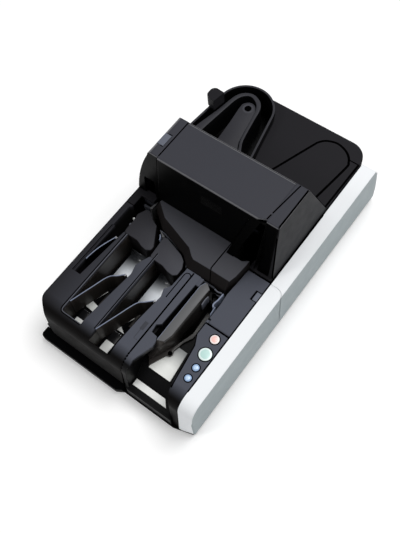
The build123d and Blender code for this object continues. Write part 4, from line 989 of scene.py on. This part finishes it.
def dress_keys():
    """Painted shade in the gaps beside the release key and the latch key."""
    prism("release_recess_shade", RECESS_OUTLINE, low=82.0, high=DECK - 0.3, material=SHADE_AND_BLACK,
          bevel=0.0, body="feeder_lid", slot="black")
    for number, y in enumerate(LATCH_SIDES):
        inlay("latch_gap_shade_%d" % number, [(x, y, z) for x, z in LATCH_LINE], width=1.2,
              across=ALONG_Y, lift=HOOD_LIFT)


# ---- rear deck and turn ---------------------------------------------------------------------------
REAR_SKIN = DECK + 0.15
REAR_LIFT = 0.2
CORNER_R = 27.8              # the rear deck's right corner, in plan
REAR_RIGHT, REAR_BACK = 106.3, 236.8
HOOD_BACK = 122              # the turn's lines start at the foot of the hood
COVER_LINE = [(4.9, 121.9), (9.6, 135), (33.5, 201.0), (36.6, 208.6), (41.4, 214.8),
              (48.1, 219.3), (61.3, 222.7), (76.5, 218.6), (86.0, 211.5), (91.5, 202.5),
              (92.7, 192), (84.6, 128.9), (83.9, 121.9)]
REAR_GAPS = [                # width, line
    (1.6, [(88.7, 207.5), (104.9, 207.5)]),
    (2.8, [(104.9, 207.5), (103.6, 122)]),
    (2.4, [(84.6, 127.9), (103.6, 121.9)]),
]
GUIDE_OUTER = [(-121.6, 121), (-120.6, 130), (-112, 168.7), (-106.5, 200), (-99, 213.6),
               (-86, 220.0), (-73.1, 217.0), (-64.1, 209.6), (-59.4, 199), (-56.4, 181.3),
               (-48.9, 143.2), (-41.5, 127.5), (-39.5, 121)]
GUIDE_INNER = [(-109.3, 121), (-109.2, 130), (-103.3, 180), (-100.3, 199), (-95.0, 209),
               (-86.3, 214.4), (-76.5, 211.6), (-68.9, 205.2), (-64.0, 195), (-60.6, 180),
               (-53.2, 143.2), (-46.5, 128), (-45, 121)]
ARM_LINE = [(-82.6, 121), (-83.4, 131), (-86, 161.2), (-89.8, 194), (-87.5, 202.5),
            (-81, 207.6), (-73, 206.6), (-67, 200), (-63.4, 188), (-54.8, 143),
            (-48.4, 128), (-46.8, 121)]
ARM_AXIS = (-77.9, 196.3)
ARM_TOP = 98.0


def start_at(line, y):
    """Line whose points in front of the hood's back are moved to y."""
    return [(x, here if here > HOOD_BACK else y) for x, here in line]


def dress_rear_deck():
    """Skin of the deck, the teardrop-shaped cover on it and painted shade in the gaps round them."""
    corner = [(REAR_RIGHT - CORNER_R + CORNER_R * math.cos(a),
               REAR_BACK - CORNER_R + CORNER_R * math.sin(a))
              for a in (math.radians(9 * k) for k in range(11))]
    skin = ([(-18.5, 121.8), (REAR_RIGHT, 121.8)] + corner
            + [(-60, REAR_BACK), (-52, 228), (-42, 215)])
    prism("rear_deck_skin", skin, low=DECK - 0.6, high=REAR_SKIN,
          material=FINISHES["deck_rear"], bevel=0.0, slot="deck_rear")
    cover = prism("rear_cover_top", COVER_LINE, low=DECK - 0.4, high=REAR_SKIN + 0.12,
                  material=FINISHES["deck_rear"], bevel=0.0, slot="deck_rear")
    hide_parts("rear_path_cover")
    inlay("rear_cover_gap", [(x, y, REAR_SKIN) for x, y in smooth(COVER_LINE, 3)], width=3.4,
          lift=REAR_LIFT)
    for number, (width, line) in enumerate(REAR_GAPS):
        inlay("rear_gap_%d" % number, [(x, y, REAR_SKIN) for x, y in line], width,
              lift=REAR_LIFT)


def dress_turn():
    """Inner wall of the U-turn, and the arm with painted shade for its bore."""
    outer, inner = smooth(GUIDE_OUTER, 4), smooth(GUIDE_INNER, 4)
    guide = ridge("turn_guide_wall", start_at(outer, 116.0), start_at(inner, 116.0),
                  low=60.0, high=102.0, material=GUIDE_PLASTIC, bevel=0.5,
                  feet=(start_at(outer, 121.9), start_at(inner, 121.9)), slot="deck_rear")
    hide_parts("turn_guide")
    arm_line = smooth(ARM_LINE, 4)
    arm = prism("turn_arm_plate", start_at(arm_line, 117.5), low=92.0, high=ARM_TOP,
                material=ARM_PLASTIC, bevel=0.6, foot=start_at(arm_line, 121.0),
                slot="deck_rear")
    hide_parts("turn_arm")
    rim = [(5.0, ARM_TOP - 0.5), (5.4, ARM_TOP + 0.3), (8.0, ARM_TOP + 0.3),
           (8.8, ARM_TOP - 0.1)]
    lathe("turn_arm_rim", rim, ARM_AXIS, GUIDE_RIM, slot="black")
    bore = [(0, ARM_TOP + 0.12), (5.4, ARM_TOP + 0.12), (5.4, ARM_TOP - 1.0)]
    lathe("turn_arm_bore_shade", bore, ARM_AXIS, SHADE_AND_BLACK, slot="black")


# ---- painted shade in the gaps between the covers ---------------------------------------------------
MODULE_X = 16.6              # between the pockets' cover and the hopper's
COVER_X = 108.4              # between the control strip and the white cover
LID_LEFT = -87.8
LID_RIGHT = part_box("hood_lid")[1].x / MM
LID_GAP = 1.9                # width of the lines round the lid
CAP_X = 99.4                 # between the lid's right strip and the right end
ON_HOOD = {"lift": HOOD_LIFT, "across": ALONG_X}


def front_line(x, rear):
    """Line from rear along the deck, down the rounded front and the front wall."""
    crest = [(y, deck_height(y)) for y in (-197, -201, -205, -209, -213, -216.5, -219.5, -221.5)]
    slope = crest + [(-222.4, 58.0), (-226.2, 18.0)]
    return [(x, rear, DECK), (x, -196.9, DECK)] + [(x, y, z) for y, z in slope]


def dress_deck_seams():
    inlay("module_gap", front_line(MODULE_X, rear=-63), width=2.3, across=ALONG_X)
    inlay("cover_gap", front_line(COVER_X, rear=110), width=2.0, across=ALONG_X)
    inlay("feeder_gap", [(71.2, -110.8, DECK), (108, -110.8, DECK)], width=2.2, across=ALONG_Y)
    inlay("wall_gap", [(-117.8, -26.3, DECK), (-130.0, -26.3, DECK)], width=1.2,
          across=ALONG_Y)
    inlay("block_gap", [(36.4, 4, BLOCK), (35.8, -49, BLOCK), (37.05, -51.4, BLOCK),
                        (41.4, -60.6, DECK)], width=1.7)


def dress_hood_seams():
    inlay("lid_gap_left", [(LID_LEFT, -3.6, 105), (LID_LEFT, 6.6, 183.5), (LID_LEFT, 8.6, 186.2),
                           (LID_LEFT, 11, HOOD), (LID_LEFT, 75.5, HOOD)], LID_GAP, **ON_HOOD)
    prism("lid_gap_filler", rectangle(LID_RIGHT - 0.05, 10, LID_RIGHT + 0.85, 75.6),
          low=HOOD - 1.2, high=HOOD - 0.02, material=FINISHES["hood"], bevel=0.0, slot="hood")
    inlay("lid_gap_front", [(80.3, 12, HOOD), (81.3, 20.5, HOOD)], LID_GAP, body="lid",
          **ON_HOOD)
    inlay("lid_gap_slanted", [(81.6, 23, HOOD), (83.4, 38, HOOD), (87.9, 75.5, HOOD)], LID_GAP,
          **ON_HOOD)
    inlay("cap_gap", [(CAP_X, 10.5, HOOD), (99.6, 75.5, HOOD)], width=2.3, **ON_HOOD)
    inlay("cap_gap_front", [(CAP_X, 10.2, HOOD - 0.2), (101.6, 2.5, 155), (106.0, -10.6, 90)],
          width=2.0, across=ALONG_X)


make_camera()
make_world()
make_lights()
make_stage()
finish_nodes()
dress_pockets()
dress_pocket_rims()
dress_path()
dress_feed_mouth()
dress_hopper()
dress_buttons()
dress_keys()
dress_rear_deck()
dress_turn()
dress_deck_seams()
dress_hood_seams()

SCENE.view_settings.view_transform = "Standard"
